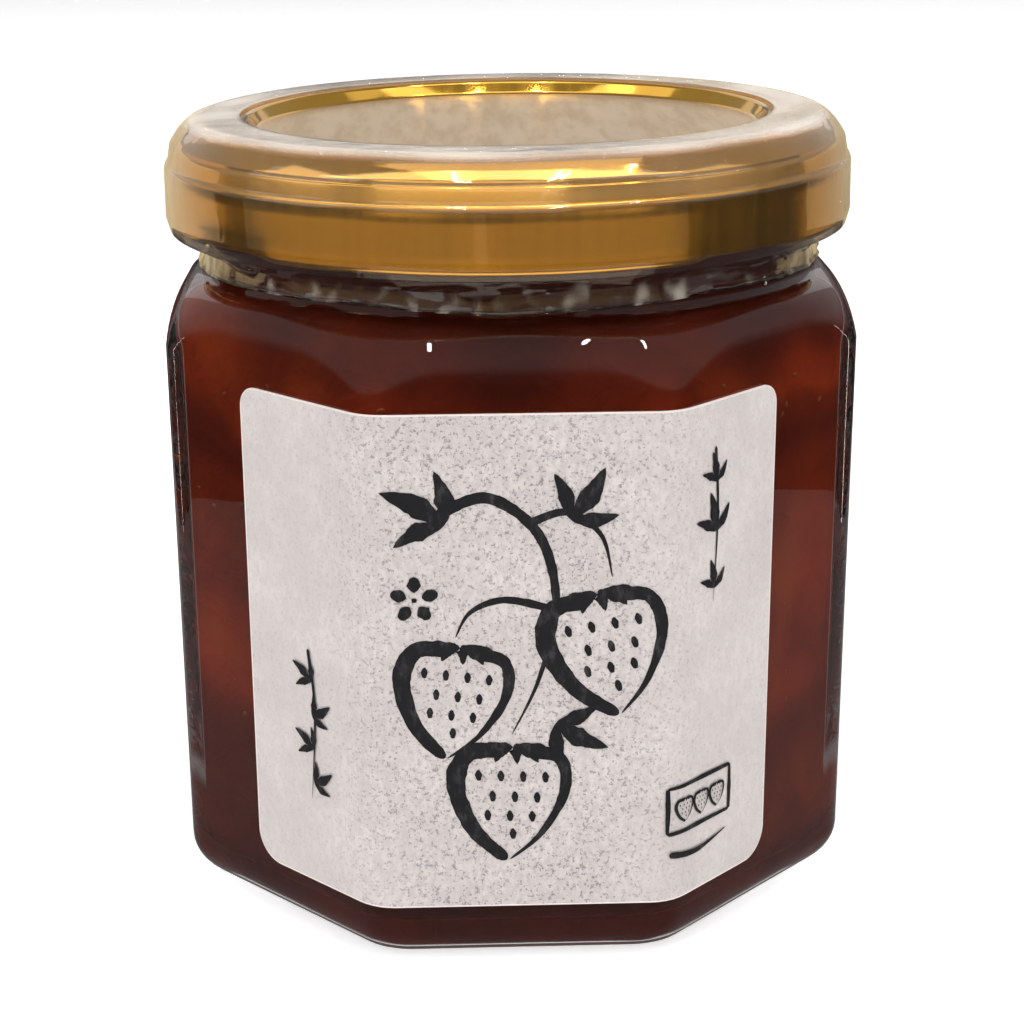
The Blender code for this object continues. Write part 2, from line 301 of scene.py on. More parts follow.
@dataclass(frozen=True)
class DarkJam:
    """Cooked fruit: dark syrup with warmer layers of fruit near the glass, with painted shade at the bottom
    and under the shoulder, and spots of painted light on the side faces.
    """

    syrup: Colour = (0.075, 0.009, 0.0035)
    fruit: Colour = (0.36, 0.038, 0.0075)
    amber: Colour = (0.42, 0.065, 0.012)
    wet_edge: Colour = (0.9, 0.9, 0.9)
    # Spots of painted shade under the shoulder and spots of painted light on the side faces: centres in
    # millimetres, with their radii.
    painted_shade_spots: tuple[tuple[Place, float], ...] = (((-1.0, -30.0, 56.5), 6.5), ((21.5, -22.0, 58.0), 8.0))
    painted_light_spots: tuple[tuple[Place, float], ...] = (((28.5, -17.0, 35.5), 10.5), ((-28.0, -17.0, 25.0), 9.0))
    spot_core: float = 0.2
    painted_shade_depth: float = 0.75
    painted_light_depth: float = 0.5
    patch_per_metre: float = 42.0
    pulp_per_metre: float = 260.0
    amber_per_metre: float = 75.0
    wave_per_metre: float = 38.0
    wave_height: float = 0.003
    scatter: float = 0.25
    scatter_depth: float = 0.002
    # Brightness by height in millimetres; the low values at the bottom and at the top under the shoulder are
    # painted shade.
    layers: tuple[Point, ...] = (
        (0.0, 0.26), (6.0, 0.3), (10.0, 0.42), (19.0, 0.34), (24.5, 1.0), (28.0, 0.75), (34.0, 0.55),
        (42.0, 0.52), (45.5, 0.22), (48.0, 0.35), (51.0, 0.8), (54.0, 0.7), (59.0, 0.15))

    def fruit_layers_and_painted_shade(self, make: MaterialBuilder) -> Output:
        """How bright the jam is by its height, with wavy borders between the layers; the darker ends at the
        bottom and under the shoulder are painted shade.

        Args:
            make: The builder of the material.

        Returns:
            An output between 0 and 1.
        """
        ramp = make.tree.nodes.new("ShaderNodeValToRGB")
        ramp.color_ramp.interpolation = "EASE"
        elements = ramp.color_ramp.elements
        top = self.layers[-1][0]
        for height, _ in self.layers[1:-1]:
            elements.new(height / top)
        for element, (height, light) in zip(elements, self.layers):
            element.position = height / top
            element.color = (light, light, light, 1.0)
        wave = make.span(make.clouds(self.wave_per_metre, 2.0), 0.3, 0.7, -self.wave_height, self.wave_height)
        level = make.maths(Maths.DIVIDE, make.maths(Maths.ADD, make.height(), wave), top * MM)
        make.feed(ramp, {"Fac": level})
        return ramp.outputs["Color"]

    def near(self, make: MaterialBuilder, spot: Place, radius: float) -> Output:
        """How close a place is to a spot.

        Args:
            make: The builder of the material.
            spot: The spot, in millimetres.
            radius: Distance at which it fades out, in millimetres.

        Returns:
            An output that is 1 at the spot.
        """
        ruler = make.tree.nodes.new("ShaderNodeVectorMath")
        ruler.operation = "DISTANCE"
        make.feed(ruler, {0: make.place, 1: tuple(MM * value for value in spot)})
        return make.span(ruler.outputs["Value"], self.spot_core * radius * MM, radius * MM, 1.0, 0.0)

    def fruit_and_painted_light(self, make: MaterialBuilder, pulp: Output) -> Output:
        """How far the colour goes from syrup to fruit at a place: by its layer, its patch and its pulp,
        darkened by spots of painted shade under the shoulder and lifted by spots of painted light on the side
        faces.

        Args:
            make: The builder of the material.
            pulp: The pattern of the pulp.

        Returns:
            An output that is 0 in plain syrup.
        """
        patches = make.span(make.clouds(self.patch_per_metre, 2.0, warp=0.6), 0.3, 0.66, 0.55, 1.15)
        share = make.maths(Maths.MULTIPLY, self.fruit_layers_and_painted_shade(make), make.maths(
            Maths.MULTIPLY, patches, make.span(pulp, 0.15, 0.75, 0.7, 1.15)))
        # Painted shade at the dark spots, then painted light at the bright spots.
        for spot, radius in self.painted_shade_spots:
            shadow = make.maths(Maths.MULTIPLY, self.near(make, spot, radius), self.painted_shade_depth)
            share = make.maths(Maths.MULTIPLY, share, make.maths(Maths.SUBTRACT, 1.0, shadow))
        for spot, radius in self.painted_light_spots:
            glow = make.maths(Maths.MULTIPLY, self.near(make, spot, radius), self.painted_light_depth)
            share = make.maths(Maths.ADD, share, glow)
        return share

    def build(self) -> bpy.types.Material:
        """Make the finish; seen aslant, the wet wall reflects all light, as where jam meets glass.

        Returns:
            The material.
        """
        make = MaterialBuilder("dark_jam")
        pulp = make.clouds(self.pulp_per_metre, 3.0, 0.6, warp=0.6)
        share = self.fruit_and_painted_light(make, pulp)
        warm = make.span(make.clouds(self.amber_per_metre, 2.0, stretch=(1, 1, 0.6)), 0.52, 0.72, 0.0, 0.9)
        lit = make.blend(make.maths(Maths.MULTIPLY, share, warm), make.blend(share, self.syrup, self.fruit),
                         self.amber)
        facing = make.tree.nodes.new("ShaderNodeLayerWeight")
        facing.inputs["Blend"].default_value = 0.5
        wet = make.maths(Maths.MULTIPLY, make.span(facing.outputs["Facing"], 0.50, 0.57),
                         make.span(make.height(), 0.009, 0.013))
        make.put(Socket.COLOUR, make.blend(wet, lit, self.wet_edge))
        make.put(Socket.METALLIC, wet)
        make.put(Socket.ROUGHNESS, make.span(wet, 0.0, 1.0, 0.45, 0.03))
        make.put(Socket.SPECULAR, 0.05)
        make.put(Socket.SUBSURFACE, self.scatter)
        make.put(Socket.SUBSURFACE_RADIUS, (1.0, 0.25, 0.12))
        make.put(Socket.SUBSURFACE_SCALE, self.scatter_depth)
        make.relief(pulp, 0.0004)
        return make.material


@dataclass(frozen=True)
class BerrySeed:
    """Small pale seeds that press against the glass."""

    shell: Colour = (0.42, 0.11, 0.03)
    dark: Colour = (0.16, 0.03, 0.012)

    def build(self) -> bpy.types.Material:
        """Make the finish.

        Returns:
            The material.
        """
        make = MaterialBuilder("berry_seed")
        tone = make.clouds(900.0, 2.0)
        make.put(Socket.COLOUR, make.blend(tone, self.shell, self.dark))
        make.put(Socket.ROUGHNESS, 0.4)
        make.put(Socket.SPECULAR, 0.1)
        return make.material


@dataclass(frozen=True)
class GoldLacquer:
    """Gold lacquer on tinplate, with fine streaks of the rolled sheet; its slope is the glossier part."""

    gold: Colour = (0.74, 0.42, 0.06)
    worn: Colour = (0.66, 0.355, 0.045)
    slope_roughness: float = 0.1
    skirt_roughness: float = 0.24
    skirt_below: float = 0.0723
    slope_above: float = 0.0733
    streak_per_metre: float = 900.0

    def build(self) -> bpy.types.Material:
        """Make the finish.

        Returns:
            The material.
        """
        make = MaterialBuilder("gold_lacquer")
        streaks = make.clouds(self.streak_per_metre, 2.0, stretch=(1.0, 0.05, 0.05))
        stain = make.clouds(60.0, 3.0)
        make.put(Socket.COLOUR, make.blend(make.span(stain, 0.3, 0.7), self.gold, self.worn))
        make.put(Socket.METALLIC, 1.0)
        part = make.span(make.height(), self.skirt_below, self.slope_above, self.skirt_roughness,
                         self.slope_roughness)
        make.put(Socket.ROUGHNESS, make.maths(Maths.ADD, part, make.span(streaks, 0.3, 0.7, -0.02, 0.03)))
        make.put(Socket.COAT, 0.3)
        make.put(Socket.COAT_ROUGHNESS, 0.06)
        make.relief(streaks, 0.000006)
        return make.material


@dataclass(frozen=True)
class PanelLacquerWithSheen:
    """Lacquer of the sunk panel, painted paler than the gold as its sheen when seen aslant, and duller, with
    soft upright smudges.
    """

    # Pale tones painted as the panel's sheen.
    pale: Colour = (0.66, 0.49, 0.31)
    smudge: Colour = (0.55, 0.39, 0.23)
    smudge_per_metre: float = 420.0

    def build(self) -> bpy.types.Material:
        """Make the finish.

        Returns:
            The material.
        """
        make = MaterialBuilder("panel_lacquer_painted_sheen")
        smudges = make.span(
            make.clouds(self.smudge_per_metre, 3.0, 0.6, stretch=(1.0, 0.14, 1.0)), 0.35, 0.68)
        make.put(Socket.COLOUR, make.blend(smudges, self.pale, self.smudge))
        make.put(Socket.METALLIC, 0.75)
        make.put(Socket.ROUGHNESS, make.span(smudges, 0.0, 1.0, 0.38, 0.5))
        make.relief(make.clouds(500.0, 3.0), 0.00001)
        return make.material


@dataclass(frozen=True)
class WashiPaper:
    """Handmade-style paper: grey-beige clouds, fibres and dark specks, thicker on the front."""

    light: Colour = (0.72, 0.66, 0.635)
    shade: Colour = (0.56, 0.505, 0.49)
    speck: Colour = (0.11, 0.09, 0.10)
    cloud_per_metre: float = 120.0
    fibre_per_metre: float = 1500.0
    grain_per_metre: float = 3200.0
    dot_per_metre: float = 620.0

    def build(self) -> bpy.types.Material:
        """Make the finish.

        Returns:
            The material.
        """
        make = MaterialBuilder("washi_paper")
        cloud = make.span(make.clouds(self.cloud_per_metre, 4.0, 0.6), 0.3, 0.7)
        fibre = make.clouds(self.fibre_per_metre, 3.0, 0.75, stretch=(1.0, 1.0, 0.6))
        base = make.blend(make.maths(Maths.MULTIPLY, cloud, 0.6), self.light, self.shade)
        crowd = make.attribute("speckle")
        shading = make.maths(Maths.MULTIPLY, make.span(fibre, 0.36, 0.62),
                             make.span(crowd, 0.0, 1.0, 0.25, 0.9))
        mottled = make.blend(shading, base, self.shade)
        grain = make.span(make.clouds(self.grain_per_metre, 2.0, 0.7), 0.54, 0.66)
        dots = make.span(make.cells(self.dot_per_metre), 0.05, 0.09, 0.5, 0.0)
        dark = make.maths(
            Maths.MAXIMUM,
            make.maths(Maths.MULTIPLY, grain, make.span(crowd, 0.0, 1.0, 0.03, 0.62)),
            make.maths(Maths.MULTIPLY, dots, make.span(crowd, 0.1, 0.9, 0.4, 1.0)))
        make.put(Socket.COLOUR, make.blend(dark, mottled, self.speck))
        make.put(Socket.ROUGHNESS, 0.88)
        make.put(Socket.SPECULAR, 0.25)
        make.put(Socket.SHEEN, 0.08)
        make.relief(fibre, 0.00003, 0.6)
        return make.material


@dataclass(frozen=True)
class CutEdge:
    """Bright cut edge of the label."""

    core: Colour = (0.88, 0.74, 0.70)
    fluff: Colour = (0.93, 0.83, 0.80)

    def build(self) -> bpy.types.Material:
        """Make the finish.

        Returns:
            The material.
        """
        make = MaterialBuilder("cut_edge")
        make.put(Socket.COLOUR, make.blend(make.clouds(700.0, 2.0), self.core, self.fluff))
        make.put(Socket.ROUGHNESS, 0.8)
        return make.material


@dataclass(frozen=True)
class BrushInk:
    """Matt black printing ink with slightly dry patches."""

    black: Colour = (0.012, 0.011, 0.013)
    dry: Colour = (0.045, 0.042, 0.045)

    def build(self) -> bpy.types.Material:
        """Make the finish.

        Returns:
            The material.
        """
        make = MaterialBuilder("brush_ink")
        dry = make.span(make.clouds(1100.0, 4.0, 0.7, stretch=(1.0, 1.0, 0.5)), 0.5, 0.72)
        make.put(Socket.COLOUR, make.blend(dry, self.black, self.dry))
        make.put(Socket.ROUGHNESS, 0.6)
        make.put(Socket.SPECULAR, 0.3)
        return make.material


@dataclass(frozen=True)
class ShrinkFilm:
    """Clear heat-shrunk film, a little milky where it stands off what it wraps, and painted milky white at
    the lid's left and right ends as its sheen there.
    """

    tone: Colour = (0.95, 0.89, 0.81)
    refraction: float = 1.4
    ripple_per_metre: float = 320.0
    ripple_depth: float = 0.00006

    def build(self) -> bpy.types.Material:
        """Make the finish.

        Returns:
            The material.
        """
        make = MaterialBuilder("shrink_film")
        make.put(Socket.COLOUR, self.tone)
        make.put(Socket.IOR, self.refraction)
        # The attribute holds the film's milkiness and its painted sheen at the lid's left and right ends.
        haze_and_sheen = make.attribute("haze_and_sheen")
        make.put(Socket.TRANSMISSION, make.span(haze_and_sheen, 0.0, 1.0, 1.0, 0.3))
        make.put(Socket.ROUGHNESS, make.span(haze_and_sheen, 0.0, 1.0, 0.02, 0.28))
        make.relief(make.clouds(self.ripple_per_metre, 2.0, 0.6, stretch=(1.0, 1.0, 0.45)), self.ripple_depth)
        return make.material


@dataclass(frozen=True)
class StudioFloor:
    """Plain pale sheet with faint clouds, which can glow a little."""

    pale: Colour = (0.93, 0.93, 0.93)
    cloud: Colour = (0.90, 0.90, 0.90)
    glow: float = 0.6

    def build(self) -> bpy.types.Material:
        """Make the finish.

        Returns:
            The material.
        """
        make = MaterialBuilder("studio_floor")
        make.put(Socket.COLOUR, make.blend(make.clouds(6.0, 2.0), self.pale, self.cloud))
        make.put(Socket.ROUGHNESS, 0.7)
        make.put(Socket.GLOW, self.pale)
        make.put(Socket.GLOW_STRENGTH, self.glow)
        return make.material


# Shapes shared by several pieces

def smooth_mesh(mesh: bpy.types.Mesh, sharp_degrees: float = 40.0) -> bpy.types.Mesh:
    """Shade a mesh smooth, except across sharp edges.

    Args:
        mesh: The mesh.
        sharp_degrees: Angle from which an edge is sharp.

    Returns:
        The same mesh.
    """
    mesh.shade_smooth()
    mesh.set_sharp_from_angle(angle=math.radians(sharp_degrees))
    return mesh


def skin(name: str, rings: Sequence[np.ndarray], start_pole: Optional[float] = None,
         end_pole: Optional[float] = None) -> bpy.types.Mesh:
    """Skin closed rings of equally many points, in order.

    Args:
        name: Name of the mesh.
        rings: Arrays of points, anticlockwise from above.
        start_pole: Height of a closing point before the first ring.
        end_pole: Height of a closing point after the last ring.

    Returns:
        The mesh.
    """
    count = len(rings[0])
    points = [tuple(point) for ring in rings for point in ring]
    faces: list[tuple[int, ...]] = []
    for row in range(len(rings) - 1):
        base = row * count
        for i in range(count):
            j = (i + 1) % count
            faces.append((base + i, base + j, base + count + j, base + count + i))
    if start_pole is not None:
        points.append((0.0, 0.0, start_pole))
        faces += [((i + 1) % count, i, len(points) - 1) for i in range(count)]
    if end_pole is not None:
        points.append((0.0, 0.0, end_pole))
        last = (len(rings) - 1) * count
        faces += [(last + i, last + (i + 1) % count, len(points) - 1) for i in range(count)]
    mesh = bpy.data.meshes.new(name)
    mesh.from_pydata(points, [], faces)
    return smooth_mesh(mesh)


def place(name: str, mesh: bpy.types.Mesh, materials: Sequence[bpy.types.Material],
          replaces: Optional[str] = None) -> bpy.types.Object:
    """Add a piece to the scene and tie it to the frame.

    Args:
        name: The piece's name.
        mesh: Its mesh.
        materials: Its materials, in slot order.
        replaces: The solid that it stands for, if any.

    Returns:
        The object.
    """
    for material in materials:
        mesh.materials.append(material)
    piece = bpy.data.objects.new(name, mesh)
    bpy.context.scene.collection.objects.link(piece)
    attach(piece, BODY)
    if replaces:
        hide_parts(replaces)
    LOG.info("%s: %d faces", name, len(mesh.polygons))
    return piece


@dataclass(frozen=True)
class Section:
    """A level rounded octagon, which is a circle where its corner radius equals its apothem."""

    height: float
    apothem: float
    corner: float

    def reach(self, offset: float) -> float:
        """Distance from the axis at an angle counted from the nearest corner.

        Args:
            offset: The angle, in radians.

        Returns:
            The distance.
        """
        centre = (self.apothem - self.corner) / math.cos(HALF_SIDE)
        flat_from = math.atan2(self.corner * math.sin(HALF_SIDE),
                               centre + self.corner * math.cos(HALF_SIDE))
        if abs(offset) > flat_from:
            return self.apothem / math.cos(HALF_SIDE - abs(offset))
        chord = self.corner**2 - (centre * math.sin(offset)) ** 2
        return centre * math.cos(offset) + math.sqrt(chord)

    def ring(self, steps: int = 12) -> np.ndarray:
        """Points round the section, closer together at its corners.

        Args:
            steps: Points on each half of a side.

        Returns:
            An array of points, in metres.
        """
        points = []
        for side in range(8):
            for step in range(-steps, steps):
                offset = HALF_SIDE * math.copysign(abs(step / steps) ** 1.7, step)
                angle = (2 * side + 1) * HALF_SIDE + offset
                reach = self.reach(offset)
                points.append((reach * math.cos(angle), reach * math.sin(angle), self.height))
        return np.array(points) * MM


def circle_section(height: float, radius: float) -> Section:
    """A level circle, as a section."""
    return Section(height, radius, radius)


@dataclass(frozen=True)
class JarShape:
    """Sizes of the glass, in millimetres, and the sections that they give."""

    half_flats: float = 33.0
    body_corner: float = 4.5
    foot_ring_inner: float = 25.2
    foot_ring_outer: float = 29.0
    foot_recess: float = 1.0
    heel_corner: float = 7.0
    heel_height: float = 4.4
    shoulder_start: float = 55.2
    shoulder_rise: float = 5.3
    shoulder_turn: float = 1.0
    shoulder_radius: float = 31.0
    shoulder_sweep: float = math.radians(80.0)
    neck_radius: float = 29.7
    neck_fillet: float = 1.5
    finish_start: float = 65.0
    finish_radius: float = 30.3
    lip_top: float = 74.6
    lip_rounding: float = 0.9
    wall: float = 3.0
    floor: float = 3.2
    inner_heel: float = 2.4
    inner_corner: float = 3.6
    inner_shoulder_start: float = 54.7
    inner_shoulder_rise: float = 5.6
    mouth_radius: float = 27.2

    def heel(self, half: float, inset: float, height: float, foot: float, corner: float,
             foot_corner: float, steps: int = 10) -> list[Section]:
        """Rounded heel from its foot up to the full width.

        Args:
            half: Half the width across flats.
            inset: How far the foot stands in.
            height: Height of the rounding.
            foot: Height of the foot.
            corner: Corner radius at the top.
            foot_corner: Corner radius at the foot.
            steps: Number of steps.

        Returns:
            The sections, from the foot up.
        """
        sections = []
        for step in range(steps + 1):
            angle = 0.5 * math.pi * step / steps
            sections.append(Section(
                foot + height * (1 - math.cos(angle)),
                half - inset * (1 - math.sin(angle)),
                foot_corner + (corner - foot_corner) * math.sin(angle)))
        return sections

    def shoulder(self, half: float, corner: float, start: float, rise: float, top: float,
                 steps: int = 16) -> list[Section]:
        """Domed shoulder on which the octagon turns into a circle.

        Args:
            half: Half the width across flats.
            corner: Corner radius of the body.
            start: Height at which it starts.
            rise: Its height.
            top: Radius of the circle at its top.
            steps: Number of steps.

        Returns:
            The sections, from the body up.
        """
        run = (half - top) / (1 - math.cos(self.shoulder_sweep))
        sections = []
        for step in range(steps + 1):
            share = step / steps
            angle = self.shoulder_sweep * share
            apothem = half - run * (1 - math.cos(angle))
            level = start + rise * math.sin(angle) / math.sin(self.shoulder_sweep)
            rounding = corner + (apothem - corner) * share**self.shoulder_turn
            sections.append(Section(level, apothem, rounding))
        return sections

    def neck(self, steps: int = 6) -> list[Section]:
        """Hollow fillet from the shoulder into the upright neck.

        Args:
            steps: Number of steps.

        Returns:
            The sections, from the shoulder up.
        """
        sections = []
        for step in range(1, steps + 1):
            angle = 0.5 * math.pi * step / steps
            radius = self.neck_radius + (self.shoulder_radius - self.neck_radius) * (1 - math.sin(angle))
            level = self.shoulder_start + self.shoulder_rise + self.neck_fillet * (1 - math.cos(angle))
            sections.append(circle_section(level, radius))
        return sections

    def outside(self) -> list[Section]:
        """Shape of the outside.

        Returns:
            The sections, from the foot up to the lip.
        """
        lip = [circle_section(self.lip_top - self.lip_rounding * (1 - math.sin(angle)),
                              self.finish_radius - self.lip_rounding * (1 - math.cos(angle)))
               for angle in np.linspace(0.0, 0.5 * math.pi, 5)]
        return [
            Section(self.foot_recess, self.foot_ring_inner - 2.0, self.heel_corner),
            Section(0.0, self.foot_ring_inner, self.heel_corner),
            *self.heel(self.half_flats, self.half_flats - self.foot_ring_outer, self.heel_height, 0.0,
                       self.body_corner, self.heel_corner),
            *self.shoulder(self.half_flats, self.body_corner, self.shoulder_start, self.shoulder_rise,
                           self.shoulder_radius),
            *self.neck(),
            circle_section(self.finish_start, self.neck_radius),
            circle_section(self.finish_start + 1.0, self.finish_radius),
            *lip,
        ]

    def inside(self, grow: float = 0.0) -> list[Section]:
        """Shape of the inside, from the floor up to the foot of the neck.

        Args:
            grow: How far they stand out into the wall.

        Returns:
            The sections.
        """
        half = self.half_flats - self.wall + grow
        return [
            *self.heel(half, self.inner_heel, self.inner_heel, self.floor - grow, self.inner_corner,
                       self.inner_corner + self.inner_heel),
            *self.shoulder(half, self.inner_corner, self.inner_shoulder_start + grow,
                           self.inner_shoulder_rise, self.mouth_radius + grow),
        ]

    def wrap(self, along: float, offset: float) -> Point:
        """Point on the body's outline, moved out by an offset.

        Args:
            along: Distance round the body from the middle of the front face, in millimetres.
            offset: How far out, in millimetres.

        Returns:
            X and Y, in millimetres.
        """
        flat = (self.half_flats - self.body_corner) * math.tan(HALF_SIDE)
        bend = self.body_corner * 2 * HALF_SIDE
        distance = abs(along)
        turned = min(max(distance - flat, 0.0), bend) / self.body_corner
        beyond = max(distance - flat - bend, 0.0)
        radius = self.body_corner + offset
        x = min(distance, flat) + radius * math.sin(turned) + beyond * math.cos(turned)
        y = -(self.half_flats - self.body_corner) - radius * math.cos(turned) + beyond * math.sin(turned)
        return math.copysign(x, along), y


# The jar and what fills it

@dataclass
class GlassJar:
    """The pressed glass jar."""

    shape: JarShape

    def build(self) -> bpy.types.Object:
        """Make the hollow jar from its foot round over the lip and down to its floor.

        Returns:
            The jar.
        """
        shape = self.shape
        lip = circle_section(shape.lip_top, shape.mouth_radius + shape.lip_rounding)
        throat = circle_section(shape.lip_top - shape.lip_rounding, shape.mouth_radius)
        sections = [*shape.outside(), lip, throat, *reversed(shape.inside())]
        rings = [section.ring() for section in sections]
        mesh = skin("jar_glass", rings, shape.foot_recess * MM, shape.floor * MM)
        jar = place("jar_glass", mesh, [PressedGlass().build()], "glass_jar")
        jar.visible_shadow = False
        return jar


@dataclass
class JamFill:
    """The jam, which reaches just into the wall so that no air shows between them."""

    shape: JarShape
    reach: float = 0.08
    top: float = 66.0
    seeds: int = 150
    seed_length: float = 0.75
    seed_width: float = 0.5
    seed_depth: float = 0.35
    seed_sizes: Point = (0.75, 1.15)
    seed_choice: int = 41

    def surface(self) -> bpy.types.Object:
        """Make the body of jam.

        Returns:
            The jam.
        """
        shape = self.shape
        sections = shape.inside(self.reach)
        sections.append(circle_section(self.top - 0.3, shape.mouth_radius + self.reach))
        sections += [circle_section(self.top, radius) for radius in (26.6, 20.0, 12.0, 5.0)]
        mesh = skin("jam_fill", [section.ring() for section in sections],
                    (shape.floor - self.reach) * MM, self.top * MM)
        return place("jam_fill", mesh, [DarkJam().build()], "jam")

    def seed_places(self, rng: random.Random) -> list[tuple[Vector, Vector]]:
        """Places on the inside of the wall, at random.

        Args:
            rng: Where the random numbers come from.

        Returns:
            The places, each with the way out of the jam.
        """
        half = self.shape.half_flats - self.shape.wall
        places = []
        for _ in range(self.seeds):
            angle = rng.uniform(0.0, 2 * math.pi)
            offset = (angle % (2 * HALF_SIDE)) - HALF_SIDE
            reach = Section(0.0, half, self.shape.inner_corner).reach(offset)
            height = rng.uniform(self.shape.floor + 6.0, self.shape.inner_shoulder_start - 0.5)
            way = Vector((math.cos(angle), math.sin(angle), 0.0))
            places.append((way * reach + Vector((0, 0, height)), way))
        return places

    def seed_mesh(self) -> bpy.types.Mesh:
        """Make the seeds.

        Returns:
            One mesh of all of them.
        """
        rng = random.Random(self.seed_choice)
        shell = bmesh.new()
        for spot, way in self.seed_places(rng):
            size = rng.uniform(*self.seed_sizes)
            turn = Matrix.Rotation(rng.uniform(0, math.pi), 4, way)
            face = way.to_track_quat("Z", "Y").to_matrix().to_4x4()
            sizes = (self.seed_width * size, self.seed_length * size, self.seed_depth * size)
            scale = Matrix.Diagonal((*(0.5 * value for value in sizes), 1.0))
            bmesh.ops.create_icosphere(shell, subdivisions=2, radius=MM,
                                       matrix=Matrix.Translation(spot * MM) @ turn @ face @ scale)
        mesh = bpy.data.meshes.new("jam_seeds")
        shell.to_mesh(mesh)
        shell.free()
        return smooth_mesh(mesh, 80.0)

    def build(self) -> None:
        """Make the jam and its seeds."""
        self.surface()
        place("jam_seeds", self.seed_mesh(), [BerrySeed().build()])


# The lid and the film over it

def resample(path: Sequence[Point], spacing: float) -> list[Point]:
    """Points along a polyline at an even spacing, keeping its own points.

    Args:
        path: The polyline.
        spacing: The spacing.

    Returns:
        The points.
    """
    result = [path[0]]
    for (x0, y0), (x1, y1) in zip(path, path[1:]):
        steps = max(1, round(math.hypot(x1 - x0, y1 - y0) / spacing))
        result += [(x0 + (x1 - x0) * i / steps, y0 + (y1 - y0) * i / steps) for i in range(1, steps + 1)]
    return result


def arc(centre: Point, radius: float, start: float, end: float, steps: int) -> list[Point]:
    """Points on an arc.

    Args:
        centre: Radius and height of its centre.
        radius: Its radius.
        start: First angle in degrees, from straight up towards the outside.
        end: Last angle.
        steps: Number of steps.

    Returns:
        The points.
    """
    return [(centre[0] + radius * math.sin(angle), centre[1] + radius * math.cos(angle))
            for angle in map(math.radians, np.linspace(start, end, steps + 1))]


